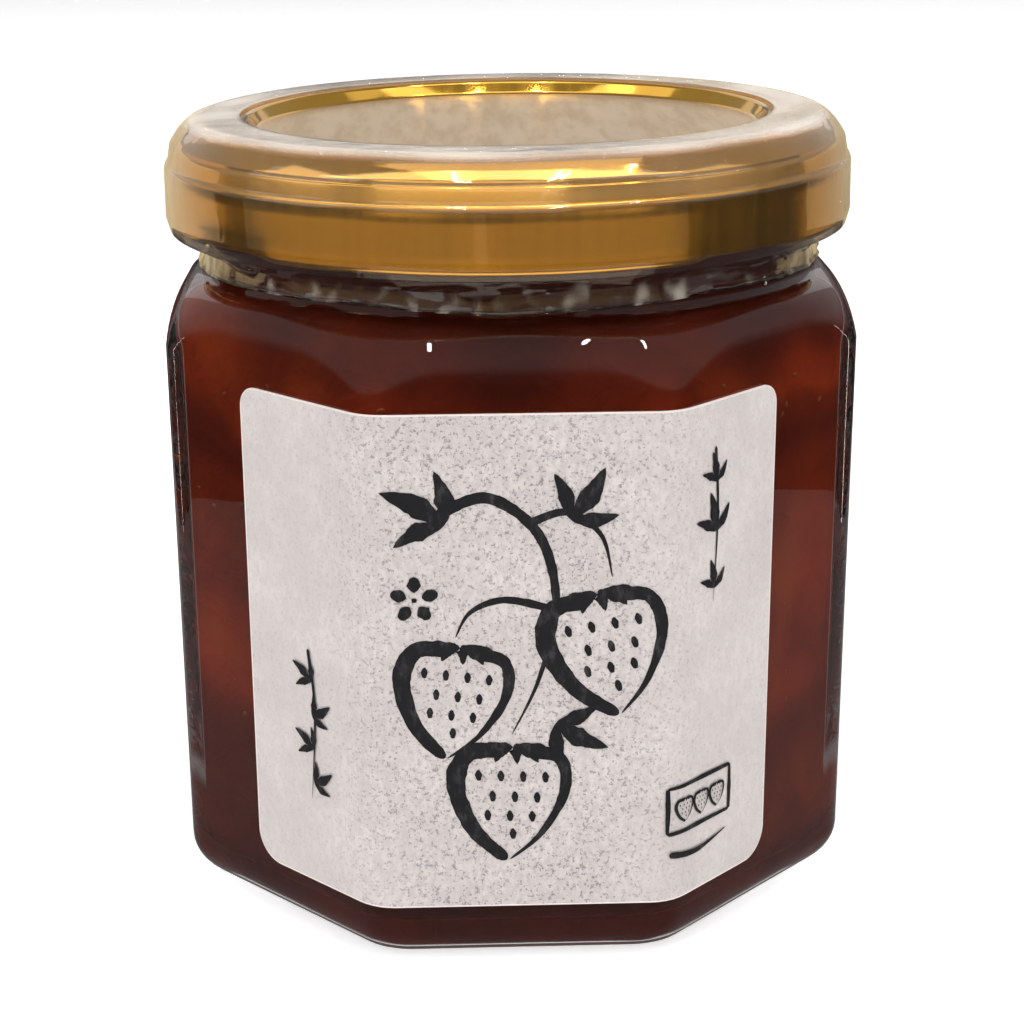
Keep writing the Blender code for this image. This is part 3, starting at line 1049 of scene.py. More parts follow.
@dataclass
class TwistLid:
    """Gold lid: sunk panel, flat ring, slope, step, rounded ridge, skirt, and an edge pressed in at its lugs.

    Lengths are in millimetres and angles in degrees.
    """

    sheet: float = 0.25
    panel: float = 74.0
    recess_foot: float = 24.8
    recess_edge: float = 25.6
    ring_top: float = 75.3
    ring_outer: float = 29.8
    ring_rounding: float = 2.2
    slope_centre: Point = (25.56, 68.9)
    slope_radius: float = 8.2
    step_centre: Point = (32.29, 72.79)
    step_rounding: float = 0.3
    ridge_centre: Point = (32.6, 71.14)
    ridge_rounding: float = 0.6
    ridge_radius: float = 33.3
    ridge_height: float = 71.5
    skirt_radius: float = 33.05
    curl_height: float = 66.0
    curl_radius: float = 0.55
    lug_angles: tuple[float, ...] = (-142.0, -52.0, 38.0, 128.0)
    lug_width: float = 9.0
    lug_softness: float = 0.9
    lug_height: float = 2.2
    lug_inset: float = 0.3
    lug_rise: float = 0.4
    lean: float = -0.5
    steps: int = 288

    def lean_over(self, mesh: bpy.types.Mesh) -> None:
        """Lean a mesh of the cap as the lid sits on the jar.

        Args:
            mesh: The mesh.
        """
        middle = Matrix.Translation((0.0, 0.0, self.curl_height * MM))
        mesh.transform(middle @ Matrix.Rotation(math.radians(self.lean), 4, "Y") @ middle.inverted())

    def outer(self) -> list[Point]:
        """Outer half profile.

        Returns:
            Its points, from near the axis out and down to the curl.
        """
        return [
            (4.0, self.panel), (12.0, self.panel), (20.0, self.panel), (self.recess_foot - 0.6, self.panel),
            *arc((self.recess_foot - 0.4, self.panel + 0.4), 0.4, 180.0, 100.0, 4),
            *arc((self.recess_edge + 0.1, self.ring_top - 0.45), 0.45, -80.0, 0.0, 5),
            (27.5, self.ring_top),
            *arc((self.ring_outer, self.ring_top - self.ring_rounding), self.ring_rounding, 0.0, 45.0, 9),
            *arc(self.slope_centre, self.slope_radius, 47.0, 56.0, 6),
            (32.39, 73.38), (32.41, 73.16),
            *arc(self.step_centre, self.step_rounding, 32.0, 76.0, 5),
            (32.68, 72.5), (32.79, 72.05), (32.86, 71.76),
            *arc(self.ridge_centre, self.ridge_rounding, 28.0, 92.0, 9),
            (33.17, 70.95), (33.13, 70.7),
            *[(self.skirt_radius, self.ridge_height - drop) for drop in (1.3, 1.6, 2.6, 3.6, 4.2)],
            (self.skirt_radius, self.curl_height + self.curl_radius + 0.3),
        ]

    def curl(self) -> list[Point]:
        """Rolled edge, round from its outside to its inside."""
        centre = (self.skirt_radius - self.curl_radius + 0.1, self.curl_height)
        return arc(centre, self.curl_radius, 80.0, 280.0, 10)

    def inner(self) -> list[Point]:
        """Inner half profile.

        Returns:
            Its points, from above the curl up and in to near the axis.
        """
        return [
            (self.skirt_radius - self.sheet, self.curl_height + self.curl_radius + 0.3),
            (self.skirt_radius - self.sheet, self.ridge_height - 0.3),
            (self.ring_outer + 0.8 * self.ring_rounding, self.ring_top - 0.8 * self.ring_rounding),
            (self.ring_outer, self.ring_top - self.sheet),
            (self.recess_edge + 0.2, self.ring_top - self.sheet),
            (self.recess_foot + 0.2, self.panel - self.sheet),
            (4.0, self.panel - self.sheet),
        ]

    def lug(self, angle: float) -> float:
        """How far the edge is pressed in at an angle.

        Args:
            angle: The angle, in radians.

        Returns:
            0 for not at all, 1 at a lug.
        """
        degrees = math.degrees(angle)
        nearest = min(abs((degrees - lug + 180.0) % 360.0 - 180.0) for lug in self.lug_angles)
        return 1.0 / (1.0 + math.exp((nearest - self.lug_width) / self.lug_softness))

    def ring(self, radius: float, height: float) -> np.ndarray:
        """Turn one profile point into a ring, drawn in and up at the lugs near the rolled edge.

        Args:
            radius: Its distance from the axis.
            height: Its height.

        Returns:
            An array of points, in metres.
        """
        near_edge = 0.0
        if radius > self.ring_outer:
            near_edge = max(0.0, 1.0 - (height - self.curl_height + self.curl_radius) / self.lug_height)
        points = []
        for step in range(self.steps):
            angle = 2 * math.pi * step / self.steps
            press = near_edge * self.lug(angle)
            reach = radius - self.lug_inset * press
            lifted = height + self.lug_rise * press
            points.append((reach * math.cos(angle), reach * math.sin(angle), lifted))
        return np.array(points) * MM

    def build(self) -> bpy.types.Object:
        """Make the lid.

        Returns:
            The lid.
        """
        profile = [*self.outer(), *self.curl(), *self.inner()]
        rings = [self.ring(radius, height) for radius, height in reversed(profile)]
        mesh = skin("gold_lid", rings, (self.panel - self.sheet) * MM, self.panel * MM)
        for face in mesh.polygons:
            inside = math.hypot(face.center.x, face.center.y) < (self.recess_foot - 0.5) * MM
            face.material_index = int(inside and face.center.z > (self.panel - 0.05) * MM)
        self.lean_over(mesh)
        finishes = [GoldLacquer().build(), PanelLacquerWithSheen().build()]
        return place("gold_lid", mesh, finishes, "lid")


@dataclass
class CapSeal:
    """Clear film shrunk over the lid's ring, slope and skirt and in to the neck, with an uneven hem.

    Places down the film are shares of its length: 0 at its upper edge, 1 at its hem.
    """

    lid: TwistLid
    shape: JarShape
    gap: float = 0.25
    thickness: float = 0.06
    edge_radius: float = 26.0
    hem_height: float = 61.9
    hem_radius: float = 30.6
    spacing: float = 0.42
    steps: int = 480
    creases: tuple[Point, ...] = (
        (3.54, 1.4), (3.72, 1.5), (3.86, 1.1), (5.72, -1.3), (5.95, -1.6), (1.2, 1.2), (2.0, -1.3))
    crease_width: float = 0.03
    crease_height: float = 0.16
    ring_end: float = 0.27
    slope_end: float = 0.44
    neck_start: float = 0.78
    ring_haze: float = 0.58
    slope_haze: float = 0.1
    # Strength of the painted sheen at the lid's left and right ends.
    side_painted_sheen: float = 0.28

    def profile(self) -> list[Point]:
        """Half profile of the film.

        Returns:
            Its points, from the upper edge down to the hem.
        """
        lid, gap = self.lid, self.gap
        return resample([
            (self.edge_radius, lid.ring_top + gap),
            *arc((lid.ring_outer, lid.ring_top - lid.ring_rounding), lid.ring_rounding + gap, 0.0, 45.0, 6),
            *arc(lid.slope_centre, lid.slope_radius + gap, 50.0, 60.0, 3),
            *arc((lid.ridge_radius - 0.75, lid.ridge_height - 0.7), 0.75 + gap, 40.0, 90.0, 6),
            (lid.ridge_radius + gap, lid.curl_height + 0.4),
            (lid.ridge_radius - 0.1, lid.curl_height - lid.curl_radius - 0.3),
            (self.shape.neck_radius + 1.2, lid.curl_height - 1.3),
            (self.shape.neck_radius + 0.45, lid.curl_height - 2.4),
            (self.hem_radius - 0.3, self.hem_height + 0.3),
            (self.hem_radius, self.hem_height),
        ], self.spacing)

    def wrinkle(self, angle: float, share: float) -> float:
        """How far the film stands off at a place.

        Args:
            angle: Angle round the jar.
            share: 0 at the upper edge, 1 at the hem.

        Returns:
            The distance, in millimetres.
        """
        spot = Vector((2.2 * math.cos(angle), 2.2 * math.sin(angle), 3.0 * share))
        loose = 0.35 + 0.65 * abs(math.cos(angle)) ** 2
        soft = noise.noise(spot) * 0.16 * loose
        neck = max(0.0, (share - self.neck_start) / (1.0 - self.neck_start))
        fine = noise.noise(Vector((8 * math.cos(angle), 8 * math.sin(angle), 21.0 * share)))
        finest = noise.noise(Vector((20 * math.cos(angle), 20 * math.sin(angle), 36.0 * share)))
        if share < 0.26:
            soft *= 0.4
        down = math.exp(-(((share - 0.22) / 0.1) ** 2))
        for start, drift in self.creases:
            across = (angle - start - drift * (share - 0.2)) / self.crease_width
            soft += self.crease_height * math.exp(-across * across) * down
        return max(-0.12, soft + neck * (0.36 * fine + 0.14 * finest))

    def haze_and_sheen(self, angle: float, share: float) -> float:
        """How milky the film is at a place, with painted sheen at the lid's left and right ends.

        Args:
            angle: Angle round the jar.
            share: 0 at the upper edge, 1 at the hem.

        Returns:
            0 for clear, 1 for white.
        """
        ring = self.ring_haze * min(1.0, max(0.0, (self.ring_end - share) / 0.05))
        slope = self.slope_haze * min(1.0, max(0.0, (self.slope_end - share) / 0.03))
        # Painted sheen: milky white where the film turns away at the lid's left and right ends.
        side = self.side_painted_sheen * max(0.0, (abs(math.cos(angle)) - 0.76) / 0.24)
        if share >= 0.75:
            side *= 0.3
        cloudy = 0.75 + 0.5 * noise.noise(Vector((3 * math.cos(angle), 3 * math.sin(angle), 5 * share + 7)))
        flecks = noise.noise(Vector((22 * math.cos(angle), 22 * math.sin(angle), 14.0 * share + 3)))
        hem = max(0.0, (share - 0.82) / 0.18) * max(0.0, flecks - 0.12) * 0.6
        return min(1.0, max(0.02, max(ring + side, slope) * cloudy + hem))

    def build(self) -> bpy.types.Object:
        """Make the film.

        Returns:
            The film.
        """
        profile = self.profile()
        rings, hazes = [], []
        for row, (radius, height) in enumerate(profile):
            share = row / (len(profile) - 1)
            hem = max(0.0, (share - 0.8) / 0.2)
            ring = []
            for step in range(self.steps):
                angle = 2 * math.pi * step / self.steps
                off = self.wrinkle(angle, share)
                wave = 0.22 * math.sin(5 * angle) + 0.2 * noise.noise(
                    Vector((6 * math.cos(angle), 6 * math.sin(angle), 1.0)))
                reach = radius + off
                ring.append((reach * math.cos(angle), reach * math.sin(angle), height + hem * wave))
                hazes.append(self.haze_and_sheen(angle, share))
            rings.append(np.array(ring) * MM)
        mesh = skin("clear_film", rings[::-1])
        attribute = mesh.attributes.new("haze_and_sheen", "FLOAT", "POINT")
        attribute.data.foreach_set("value", np.array(hazes).reshape(len(rings), -1)[::-1].ravel())
        self.lid.lean_over(mesh)
        film = place("clear_film", mesh, [ShrinkFilm().build()], "cap_seal")
        thicken = film.modifiers.new("film", "SOLIDIFY")
        thicken.thickness = self.thickness * MM
        thicken.offset = 1.0
        film.visible_shadow = False
        return film


# The label and its print

@dataclass
class PaperLabel:
    """Paper label bent round the front face and on to both of its neighbours."""

    shape: JarShape
    bottom: float = 6.2
    top: float = 53.6
    past_left: float = 16.15
    past_right: float = 13.9
    gap: float = 0.12
    thickness: float = 0.18
    top_rounding: float = 2.0
    bottom_rounding: float = 3.0
    spacing: float = 0.7
    rows: int = 48
    cut_edge: float = 0.14

    def ends(self) -> Point:
        """Where the label ends, measured round the body from the front face's middle.

        Returns:
            Its left and its right end.
        """
        flats, corner = self.shape.half_flats, self.shape.body_corner
        edge = (flats - corner) * math.tan(HALF_SIDE) + corner * 2 * HALF_SIDE
        edge -= corner * math.tan(HALF_SIDE)
        return -(edge + self.past_left), edge + self.past_right

    def drawn_in(self, from_end: float, rounding: float) -> float:
        """How far the label's top or bottom draws in near an end.

        Args:
            from_end: Distance from the end.
            rounding: Radius of the corner.

        Returns:
            The distance that it draws in.
        """
        if from_end >= rounding:
            return 0.0
        return rounding - math.sqrt(max(0.0, rounding**2 - (rounding - from_end) ** 2))

    def speckle(self, along: float, level: float) -> float:
        """How crowded the paper's dark specks are at a place.

        Args:
            along: Its place along the label.
            level: Its height.

        Returns:
            0 for few specks, 1 for many.
        """
        front = math.exp(-(((along + 1.0) / 15.0) ** 4))
        patch = 0.8 + 0.4 * noise.noise(Vector((along, level, 0)) * 0.12)
        return min(1.0, max(0.0, 0.25 + 0.75 * front * patch))

    def build(self) -> bpy.types.Object:
        """Make the label as an open sheet with thickness and a bright cut edge.

        Returns:
            The label.
        """
        left, right = self.ends()
        near = sorted([self.cut_edge, *(self.bottom_rounding * (1 - math.cos(0.5 * math.pi * i / 10))
                                        for i in range(10))])
        middle = np.arange(left + self.bottom_rounding, right - self.bottom_rounding, self.spacing)
        columns = [left + n for n in near] + list(middle) + sorted(right - n for n in near)
        points, values = [], []
        for along in columns:
            from_end = min(along - left, right - along)
            low = self.bottom + self.drawn_in(from_end, self.bottom_rounding)
            high = self.top - self.drawn_in(from_end, self.top_rounding)
            x, y = self.shape.wrap(along, self.gap)
            for row in range(self.rows + 1):
                level = low + row / self.rows * (high - low)
                if 0 < row < self.rows:
                    inside = (high - low - 2 * self.cut_edge) * (row - 1) / (self.rows - 2)
                    level = low + (self.cut_edge + inside)
                points.append((x * MM, y * MM, level * MM))
                values.append(self.speckle(along, level))
        tall = self.rows + 1
        faces = [(c * tall + r, (c + 1) * tall + r, (c + 1) * tall + r + 1, c * tall + r + 1)
                 for c in range(len(columns) - 1) for r in range(self.rows)]
        mesh = bpy.data.meshes.new("paper_label")
        mesh.from_pydata(points, [], faces)
        smooth_mesh(mesh)
        for face in mesh.polygons:
            column, row = divmod(face.index, self.rows)
            from_end = min(columns[column] - left, right - columns[column + 1])
            face.material_index = int(row in (0, self.rows - 1) or from_end < 0.9 * self.cut_edge)
        mesh.attributes.new("speckle", "FLOAT", "POINT").data.foreach_set("value", values)
        finishes = [WashiPaper().build(), CutEdge().build()]
        label = place("paper_label", mesh, finishes, "label")
        thicken = label.modifiers.new("paper", "SOLIDIFY")
        thicken.thickness = self.thickness * MM
        thicken.offset = 1.0
        thicken.material_offset_rim = 1
        thicken.use_flat_faces = False
        return label


class Brush(Enum):
    """How a stroke swells along its length: start, middle and end, as shares of its width."""

    BOLD = (0.75, 1.0, 0.6)
    TAPERED = (1.0, 0.8, 0.1)
    LEAF = (0.08, 1.0, 0.08)
    DROP = (0.25, 1.0, 0.45)


@dataclass
class BrushPrint:
    """Generic brush drawing of berries on a sprig, and small ornaments at the label's sides."""

    label: PaperLabel
    lift: float = 0.02
    step: float = 0.0008
    spacing: float = 0.22

    def __post_init__(self) -> None:
        """Start with no ink."""
        self.points: list[Place] = []
        self.faces: list[tuple[int, ...]] = []
        self.rng = random.Random(7)
        self.strokes = 0

    def on_label(self, along: float, level: float) -> Place:
        """Point just above the paper; each stroke lies a little higher than the last.

        Args:
            along: Its place along the flat label, in millimetres.
            level: Its height, in millimetres.

        Returns:
            The point, in metres.
        """
        over = self.lift + self.step * self.strokes
        x, y = self.label.shape.wrap(along, self.label.gap + self.label.thickness + over)
        return x * MM, y * MM, level * MM

    def curve(self, marks: Sequence[Point]) -> list[Point]:
        """Smooth curve through marks.

        Args:
            marks: The marks, as distance along the label and height.

        Returns:
            Points on the curve, at an even spacing.
        """
        ends = [marks[0], *marks, marks[-1]]
        dense: list[Point] = []
        for p0, p1, p2, p3 in zip(ends, ends[1:], ends[2:], ends[3:]):
            for step in range(16):
                t = step / 16
                dense.append(tuple(
                    0.5 * (2 * b + (c - a) * t + (2 * a - 5 * b + 4 * c - d) * t**2
                           + (3 * b - a - 3 * c + d) * t**3)
                    for a, b, c, d in zip(p0, p1, p2, p3)))
        dense.append(marks[-1])
        return resample(dense, self.spacing)

    def stroke(self, marks: Sequence[Point], width: float, brush: Brush = Brush.BOLD) -> None:
        """Draw one brush stroke.

        Args:
            marks: Points that it passes, as distance along the label and height.
            width: Its full width, in millimetres.
            brush: How its width changes along it.
        """
        path = np.array(self.curve(marks))
        way = np.gradient(path, axis=0)
        way /= np.maximum(np.linalg.norm(way, axis=1, keepdims=True), 1e-9)
        side = np.stack([-way[:, 1], way[:, 0]], axis=1)
        share = np.linspace(0, 1, len(path))
        swell = np.interp(share, (0, 0.45, 1), brush.value)
        from_end = np.minimum(share, 1 - share) * len(path) * self.spacing / (0.5 * width)
        cap = np.minimum(1.0, np.sqrt(from_end + 0.02))
        start = len(self.points)
        self.strokes += 1
        seed = self.rng.uniform(0, 50)
        for i, (centre, across) in enumerate(zip(path, side)):
            rough = 1 + 0.14 * noise.noise(Vector((seed + 0.9 * i * self.spacing, 0, 0)))
            half = 0.5 * width * swell[i] * cap[i] * rough
            for edge in (-1, 0, 1):
                bristle = noise.noise(Vector((seed + 2.2 * i * self.spacing, edge * 9, 3)))
                spot = centre + across * edge * (half * (1 + 0.1 * bristle))
                self.points.append(self.on_label(float(spot[0]), float(spot[1])))
        for i in range(len(path) - 1):
            for lane in (0, 1):
                a = start + 3 * i + lane
                self.faces.append((a, a + 3, a + 4, a + 1))

    def berry(self, along: float, level: float, size: float, lean: float) -> None:
        """Draw a strawberry outline with seeds and a crown of sepals.

        Args:
            along: Its middle along the label.
            level: Its middle height.
            size: Its height, in millimetres.
            lean: Turn in degrees.
        """
        turn = math.radians(lean)

        def mark(x: float, y: float) -> Point:
            """Point of the berry on the label, from its place on an upright berry of height 1."""
            return (along + size * (x * math.cos(turn) - y * math.sin(turn)),
                    level + size * (x * math.sin(turn) + y * math.cos(turn)))

        left = [(-0.05, 0.40), (-0.33, 0.38), (-0.42, 0.12), (-0.27, -0.25), (0.0, -0.50)]
        right = [(0.08, 0.41), (0.36, 0.36), (0.41, 0.08), (0.25, -0.27), (0.02, -0.50)]
        self.stroke([mark(*p) for p in left], 0.15 * size, Brush.BOLD)
        self.stroke([mark(*p) for p in right], 0.11 * size, Brush.TAPERED)
        for row, (y, count) in enumerate(((0.2, 4), (0.03, 3), (-0.13, 3), (-0.28, 1))):
            for i in range(count):
                x = (i - 0.5 * (count - 1)) * 0.17 + 0.03 * (row % 2)
                self.stroke([mark(x, y + 0.045), mark(x + 0.01, y - 0.045)], 0.055 * size, Brush.DROP)
        for x in (-0.3, -0.13, 0.04, 0.2, 0.34):
            sepal = [mark(0.0, 0.44), mark(0.6 * x, 0.42), mark(x, 0.30 + 0.1 * abs(x))]
            self.stroke(sepal, 0.12 * size, Brush.LEAF)

    def leaf(self, along: float, level: float, size: float, lean: float) -> None:
        """Draw a three-part leaf of bold strokes.

        Args:
            along: Foot of the leaf along the label.
            level: Height of its foot.
            size: Its length, in millimetres.
            lean: Direction in degrees from straight up.
        """
        for spread, share in ((0.0, 1.0), (52.0, 0.78), (-52.0, 0.78)):
            angle = math.radians(lean + spread)
            dx, dy = -math.sin(angle), math.cos(angle)
            tip = (along + size * share * dx, level + size * share * dy)
            bow = (along + 0.5 * size * share * dx + 0.06 * size * dy,
                   level + 0.5 * size * share * dy - 0.06 * size * dx)
            self.stroke([(along, level), bow, tip], 0.36 * size * share, Brush.LEAF)

    def flower(self, along: float, level: float, size: float) -> None:
        """Draw a five-petalled flower of round dabs.

        Args:
            along: Its middle along the label.
            level: Its middle height.
            size: Its width, in millimetres.
        """
        for petal in range(5):
            angle = math.radians(90 + 72 * petal)
            petal_line = [(along + reach * size * math.cos(angle), level + reach * size * math.sin(angle))
                          for reach in (0.16, 0.48)]
            self.stroke(petal_line, 0.27 * size, Brush.DROP)
        self.stroke([(along - 0.05 * size, level), (along + 0.05 * size, level)], 0.1 * size, Brush.BOLD)

    def frame_of(self, along: float, level: float, width: float, height: float) -> None:
        """Draw a small hand-ruled frame.

        Args:
            along: Its left side along the label.
            level: Its lower side.
            width: Its width.
            height: Its height.
        """
        right, top = along + width, level + height
        for start, end in (((along, level), (right, level)), ((right, level), (right, top)),
                           ((right, top), (along, top)), ((along, top), (along, level))):
            middle = (0.5 * (start[0] + end[0]) + 0.05, 0.5 * (start[1] + end[1]) + 0.05)
            self.stroke([start, middle, end], 0.5, Brush.BOLD)

    def draw(self) -> None:
        """Draw the whole print."""
        sprig = [(-7.5, 44.5), (-3.0, 46.0), (1.5, 42.5), (3.0, 36.0), (1.5, 29.0), (-1.0, 23.5)]
        self.stroke(sprig, 1.1, Brush.TAPERED)
        self.stroke([(0.6, 43.6), (4.0, 44.6), (7.0, 42.4), (8.0, 38.5)], 0.8, Brush.TAPERED)
        self.stroke([(2.9, 35.5), (-1.5, 36.5), (-4.6, 35.4), (-6.0, 33.0)], 0.8, Brush.TAPERED)
        self.berry(-6.3, 27.0, 11.5, -8.0)
        self.berry(7.6, 31.5, 12.5, 10.0)
        self.berry(-1.2, 17.0, 12.0, -3.0)
        self.leaf(-6.8, 43.6, 6.4, 62.0)
        self.leaf(4.2, 44.0, 5.6, -34.0)
        self.leaf(3.0, 24.6, 5.4, -118.0)
        self.flower(-9.6, 36.6, 4.6)
        for level, size in ((47.3, 2.3), (42.6, 3.1), (37.2, 2.3)):
            self.leaf(18.6, level - 1.2, size * 1.25, 12.0)
        self.stroke([(18.4, 49.4), (18.9, 43.0), (18.5, 34.6)], 0.35, Brush.TAPERED)
        self.frame_of(13.2, 13.0, 8.4, 4.6)
        for i in range(3):
            self.berry(15.1 + 2.3 * i, 15.2, 2.5, 0.0)
        self.stroke([(13.4, 10.9), (17.0, 10.4), (21.2, 11.2)], 0.7, Brush.TAPERED)
        self.stroke([(-21.4, 30.0), (-20.7, 24.0), (-21.5, 14.8)], 0.4, Brush.TAPERED)
        for step in range(4):
            self.leaf(-21.1, 16.6 + 3.4 * step, 2.9, 58.0 if step % 2 else -58.0)

    def build(self) -> bpy.types.Object:
        """Make the print.

        Returns:
            One thin mesh of all the strokes.
        """
        self.draw()
        mesh = bpy.data.meshes.new("label_print")
        mesh.from_pydata(self.points, [], self.faces)
        smooth_mesh(mesh, 80.0)
        return place("label_print", mesh, [BrushInk().build()])


# The studio

@dataclass
class PhotoCamera:
    """Camera at the photograph's viewing angle, in the jar's own frame."""

    distance: float = 212.2
    height: float = 102.3
    shift_left: float = 0.53
    tilt: float = 17.85
    pan: float = -0.20
    roll: float = -0.355
    jar_turn: float = 1.656
    focal_pixels: float = 2145.4

    def build(self) -> bpy.types.Object:
        """Make the camera and look through it.

        Returns:
            The camera.
        """
        data = bpy.data.cameras.new("photo_camera")
        data.sensor_width = SENSOR_MM
        data.lens = self.focal_pixels / PHOTO_PIXELS * SENSOR_MM
        data.clip_start = 0.01
        camera = bpy.data.objects.new("photo_camera", data)
        unturn = Matrix.Rotation(math.radians(-self.jar_turn), 4, "Z")
        stand = Vector((-self.shift_left, -self.distance, self.height)) * MM
        aim = (Matrix.Rotation(math.radians(self.pan), 4, "Z")
               @ Matrix.Rotation(math.radians(90.0 - self.tilt), 4, "X")
               @ Matrix.Rotation(math.radians(self.roll), 4, "Z"))
        camera.matrix_world = unturn @ Matrix.Translation(stand) @ aim
        bpy.context.scene.collection.objects.link(camera)
        bpy.context.scene.camera = camera
        return camera


@dataclass(frozen=True)
class Softbox:
    """One area light, aimed at a point on the jar's axis.

    Azimuth 0 is in front of the jar, and it turns towards +X. Angles are in degrees, sizes and the
    distance in metres, and the height aimed at in millimetres.
    """

    name: str
    azimuth: float
    elevation: float
    distance: float
    width: float
    height: float
    brightness: float
    colour: Colour = (1.0, 1.0, 1.0)
    twist: float = 0.0
    aim: float = 45.0

    def build(self, only: Optional[bpy.types.Collection] = None) -> bpy.types.Object:
        """Make the light.

        Args:
            only: Pieces that it lights, where it doesn't light all of them.

        Returns:
            The light.
        """
        data = bpy.data.lights.new(self.name, "AREA")
        data.shape = "RECTANGLE"
        data.size, data.size_y = self.width, self.height
        data.energy = self.brightness * math.pi * self.width * self.height
        data.color = self.colour
        light = bpy.data.objects.new(self.name, data)
        angle, lift = FRONT + math.radians(self.azimuth), math.radians(self.elevation)
        target = Vector((0, 0, self.aim * MM))
        way = Vector((math.cos(lift) * math.cos(angle), math.cos(lift) * math.sin(angle), math.sin(lift)))
        facing = way.to_track_quat("Z", "Y").to_matrix().to_4x4()
        twist = Matrix.Rotation(math.radians(self.twist), 4, "Z")
        light.matrix_world = Matrix.Translation(target + way * self.distance) @ (facing @ twist)
        light.visible_camera = False
        bpy.context.scene.collection.objects.link(light)
        if only:
            light.light_linking.receiver_collection = only
        return light


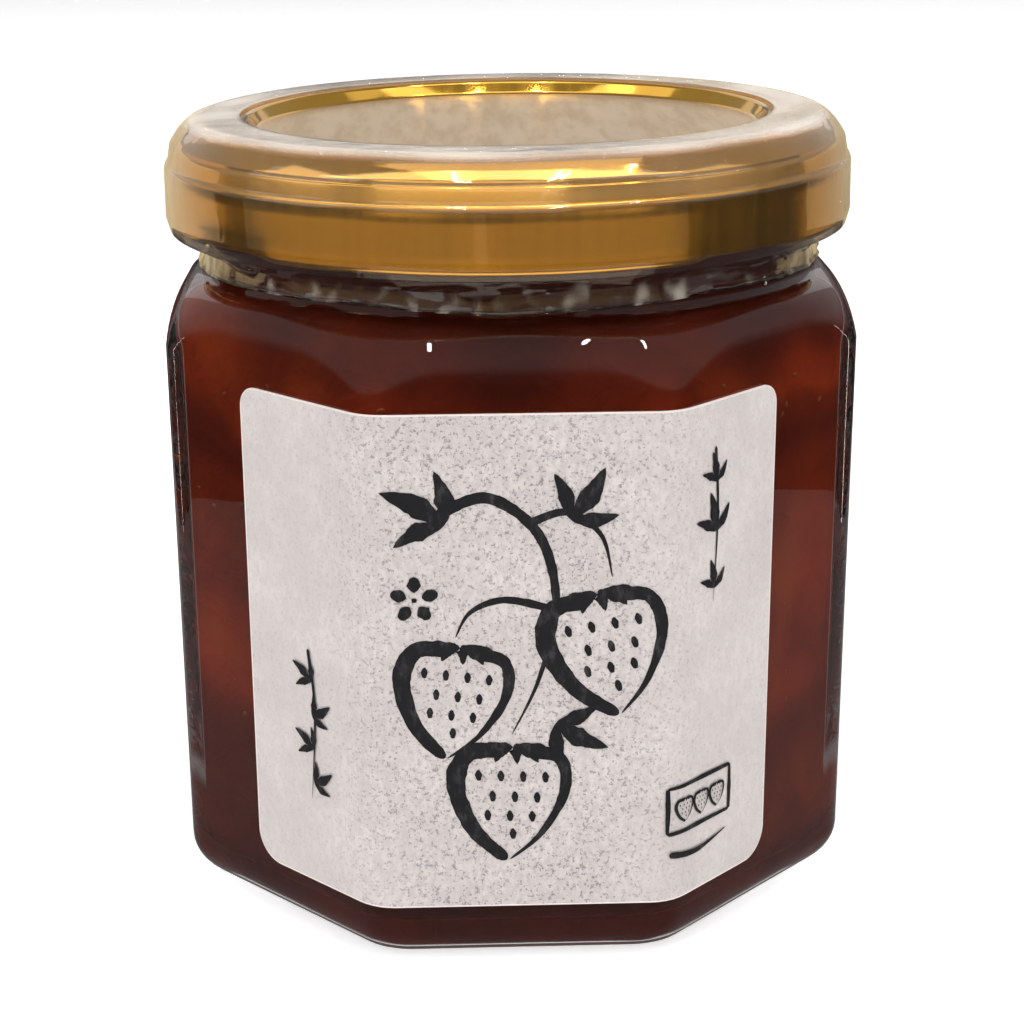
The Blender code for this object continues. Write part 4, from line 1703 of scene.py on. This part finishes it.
@dataclass
class Studio:
    """Pale floor, soft lights and a bright backdrop.

    The brightness of the surroundings rises from below over the horizon to above and the zenith.
    """

    jar: bpy.types.Object
    cap: Sequence[bpy.types.Object]
    floor_half: float = 3.0
    card_half: float = 0.16
    card_drop: float = 0.0002
    card: StudioFloor = StudioFloor((0.28, 0.275, 0.28), (0.25, 0.245, 0.25), 0.0)
    below: float = 0.04
    horizon: float = 0.06
    above: float = 0.38
    zenith: float = 0.3
    cream: Colour = (1.0, 0.92, 0.8)
    amber: Colour = (1.0, 0.78, 0.42)

    def sheet(self, name: str, half: float, level: float, finish: StudioFloor) -> bpy.types.Object:
        """Lay a square sheet that casts no shadow and isn't seen through the glass.

        Args:
            name: Its name.
            half: Half its side.
            level: Its height.
            finish: Its finish.

        Returns:
            The sheet.
        """
        mesh = bpy.data.meshes.new(name)
        corners = [(x * half, y * half, level) for x, y in ((-1, -1), (1, -1), (1, 1), (-1, 1))]
        mesh.from_pydata(corners, [], [(0, 1, 2, 3)])
        mesh.materials.append(finish.build())
        sheet = bpy.data.objects.new(name, mesh)
        bpy.context.scene.collection.objects.link(sheet)
        sheet.visible_transmission = sheet.visible_shadow = False
        return sheet

    def floor(self) -> None:
        """Lay the floor, and a grey card that shows only where the lower glass mirrors it."""
        self.sheet("floor", self.floor_half, 0.0, StudioFloor()).visible_glossy = False
        card = self.sheet("floor_card", self.card_half, -self.card_drop, self.card)
        card.visible_camera = card.visible_diffuse = False

    def world(self) -> None:
        """Light the surroundings: white to the eye, brighter above in reflections."""
        world = bpy.data.worlds.new("studio")
        world.use_nodes = True
        tree = world.node_tree
        tree.nodes.clear()
        place_node, split, ramp, glow, white, mix, path, end, lift = (
            tree.nodes.new("ShaderNode" + kind) for kind in (
                "TexCoord", "SeparateXYZ", "ValToRGB", "Background", "Background", "MixShader", "LightPath",
                "OutputWorld", "MapRange"))
        for key, value in (("From Min", -1.0), ("From Max", 1.0)):
            lift.inputs[key].default_value = value
        stops = ((0.0, self.below), (0.46, self.below), (0.52, self.horizon), (0.60, self.above),
                 (0.78, self.above), (1.0, self.zenith))
        elements = ramp.color_ramp.elements
        for spot, level in stops[1:-1]:
            elements.new(spot)
        for element, (spot, level) in zip(elements, stops):
            element.position = spot
            element.color = (level, level, level, 1.0)
        link = tree.links.new
        link(place_node.outputs["Generated"], split.inputs[0])
        link(split.outputs["Z"], lift.inputs["Value"])
        link(lift.outputs["Result"], ramp.inputs["Fac"])
        link(ramp.outputs["Color"], glow.inputs["Color"])
        link(path.outputs["Is Camera Ray"], mix.inputs[0])
        link(glow.outputs[0], mix.inputs[1])
        link(white.outputs[0], mix.inputs[2])
        link(mix.outputs[0], end.inputs["Surface"])
        white.inputs["Color"].default_value = (1, 1, 1, 1)
        bpy.context.scene.world = world

    def only(self, name: str, pieces: Sequence[bpy.types.Object]) -> bpy.types.Collection:
        """Gather the pieces that a light is kept to.

        Args:
            name: Name of the collection.
            pieces: The pieces.

        Returns:
            The collection.
        """
        group = bpy.data.collections.new(name)
        for piece in pieces:
            group.objects.link(piece)
        return group

    def lights(self) -> None:
        """Hang the lights: soft ones, one behind and streaks, thin ones for the glass, cards for the cap."""
        soft = (
            Softbox("overhead", 10.0, 78.0, 1.0, 0.9, 0.8, 0.85),
            Softbox("front", -15.0, 33.0, 0.9, 1.0, 0.5, 1.0),
            Softbox("left", -80.0, 32.0, 0.9, 0.5, 0.5, 0.9),
            Softbox("right", 75.0, 32.0, 0.9, 0.4, 0.4, 0.6),
        )
        everywhere = (
            Softbox("behind", 180.0, 26.0, 1.0, 1.2, 0.5, 0.43),
            Softbox("streak_left", -28.0, 62.0, 0.8, 0.014, 0.26, 60.0, twist=28.0),
            Softbox("streak_middle", 22.0, 62.0, 0.8, 0.014, 0.26, 60.0, twist=-28.0),
            Softbox("streak_right", 62.0, 60.0, 0.8, 0.012, 0.2, 45.0, twist=-45.0),
        )
        all_but_glass = self.only("all_but_glass", [
            piece for piece in bpy.context.scene.objects if piece.type == "MESH" and piece is not self.jar])
        for box in soft:
            box.build(all_but_glass)
        for box in everywhere:
            box.build()
        for name, azimuth in (("edge_left", -105.0), ("edge_right", 105.0)):
            edge = Softbox(name, azimuth, -20.0, 0.35, 0.006, 0.34, 6.0, self.cream)
            edge.build(self.only("glass_only", [self.jar]))
        cap_only = self.only("cap_only", self.cap)
        for box in (Softbox("slope_glow", -4.0, 66.0, 0.7, 1.5, 0.17, 1.7, aim=74.0),
                    Softbox("skirt_front", 22.0, -5.0, 0.4, 0.54, 0.16, 0.38, self.amber, aim=70.0),
                    Softbox("skirt_front_left", -50.0, -5.0, 0.4, 0.70, 0.16, 0.40, self.amber, aim=70.0),
                    Softbox("skirt_left", -138.0, -3.0, 0.4, 0.5, 0.16, 0.7, self.amber, aim=70.0),
                    Softbox("skirt_right", 142.0, -3.0, 0.4, 0.5, 0.16, 0.5, self.amber, aim=70.0),
                    Softbox("curl_glow", 0.0, -50.0, 0.3, 0.5, 0.2, 1.6, self.cream, aim=66.0)):
            box.build(cap_only)

    def build(self) -> None:
        """Set up the studio."""
        self.floor()
        self.world()
        self.lights()
        bpy.context.scene.view_settings.view_transform = "Standard"


def main() -> None:
    """Build the jar piece by piece and set it in the studio."""
    logging.basicConfig(level=logging.INFO, format="%(message)s")
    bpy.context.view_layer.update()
    PhotoCamera().build()
    shape = JarShape()
    jar = GlassJar(shape).build()
    JamFill(shape).build()
    lid = TwistLid()
    cap = [lid.build(), CapSeal(lid, shape).build()]
    label = PaperLabel(shape)
    label.build()
    BrushPrint(label).build()
    Studio(jar, cap).build()


if __name__ == "__main__":
    main()
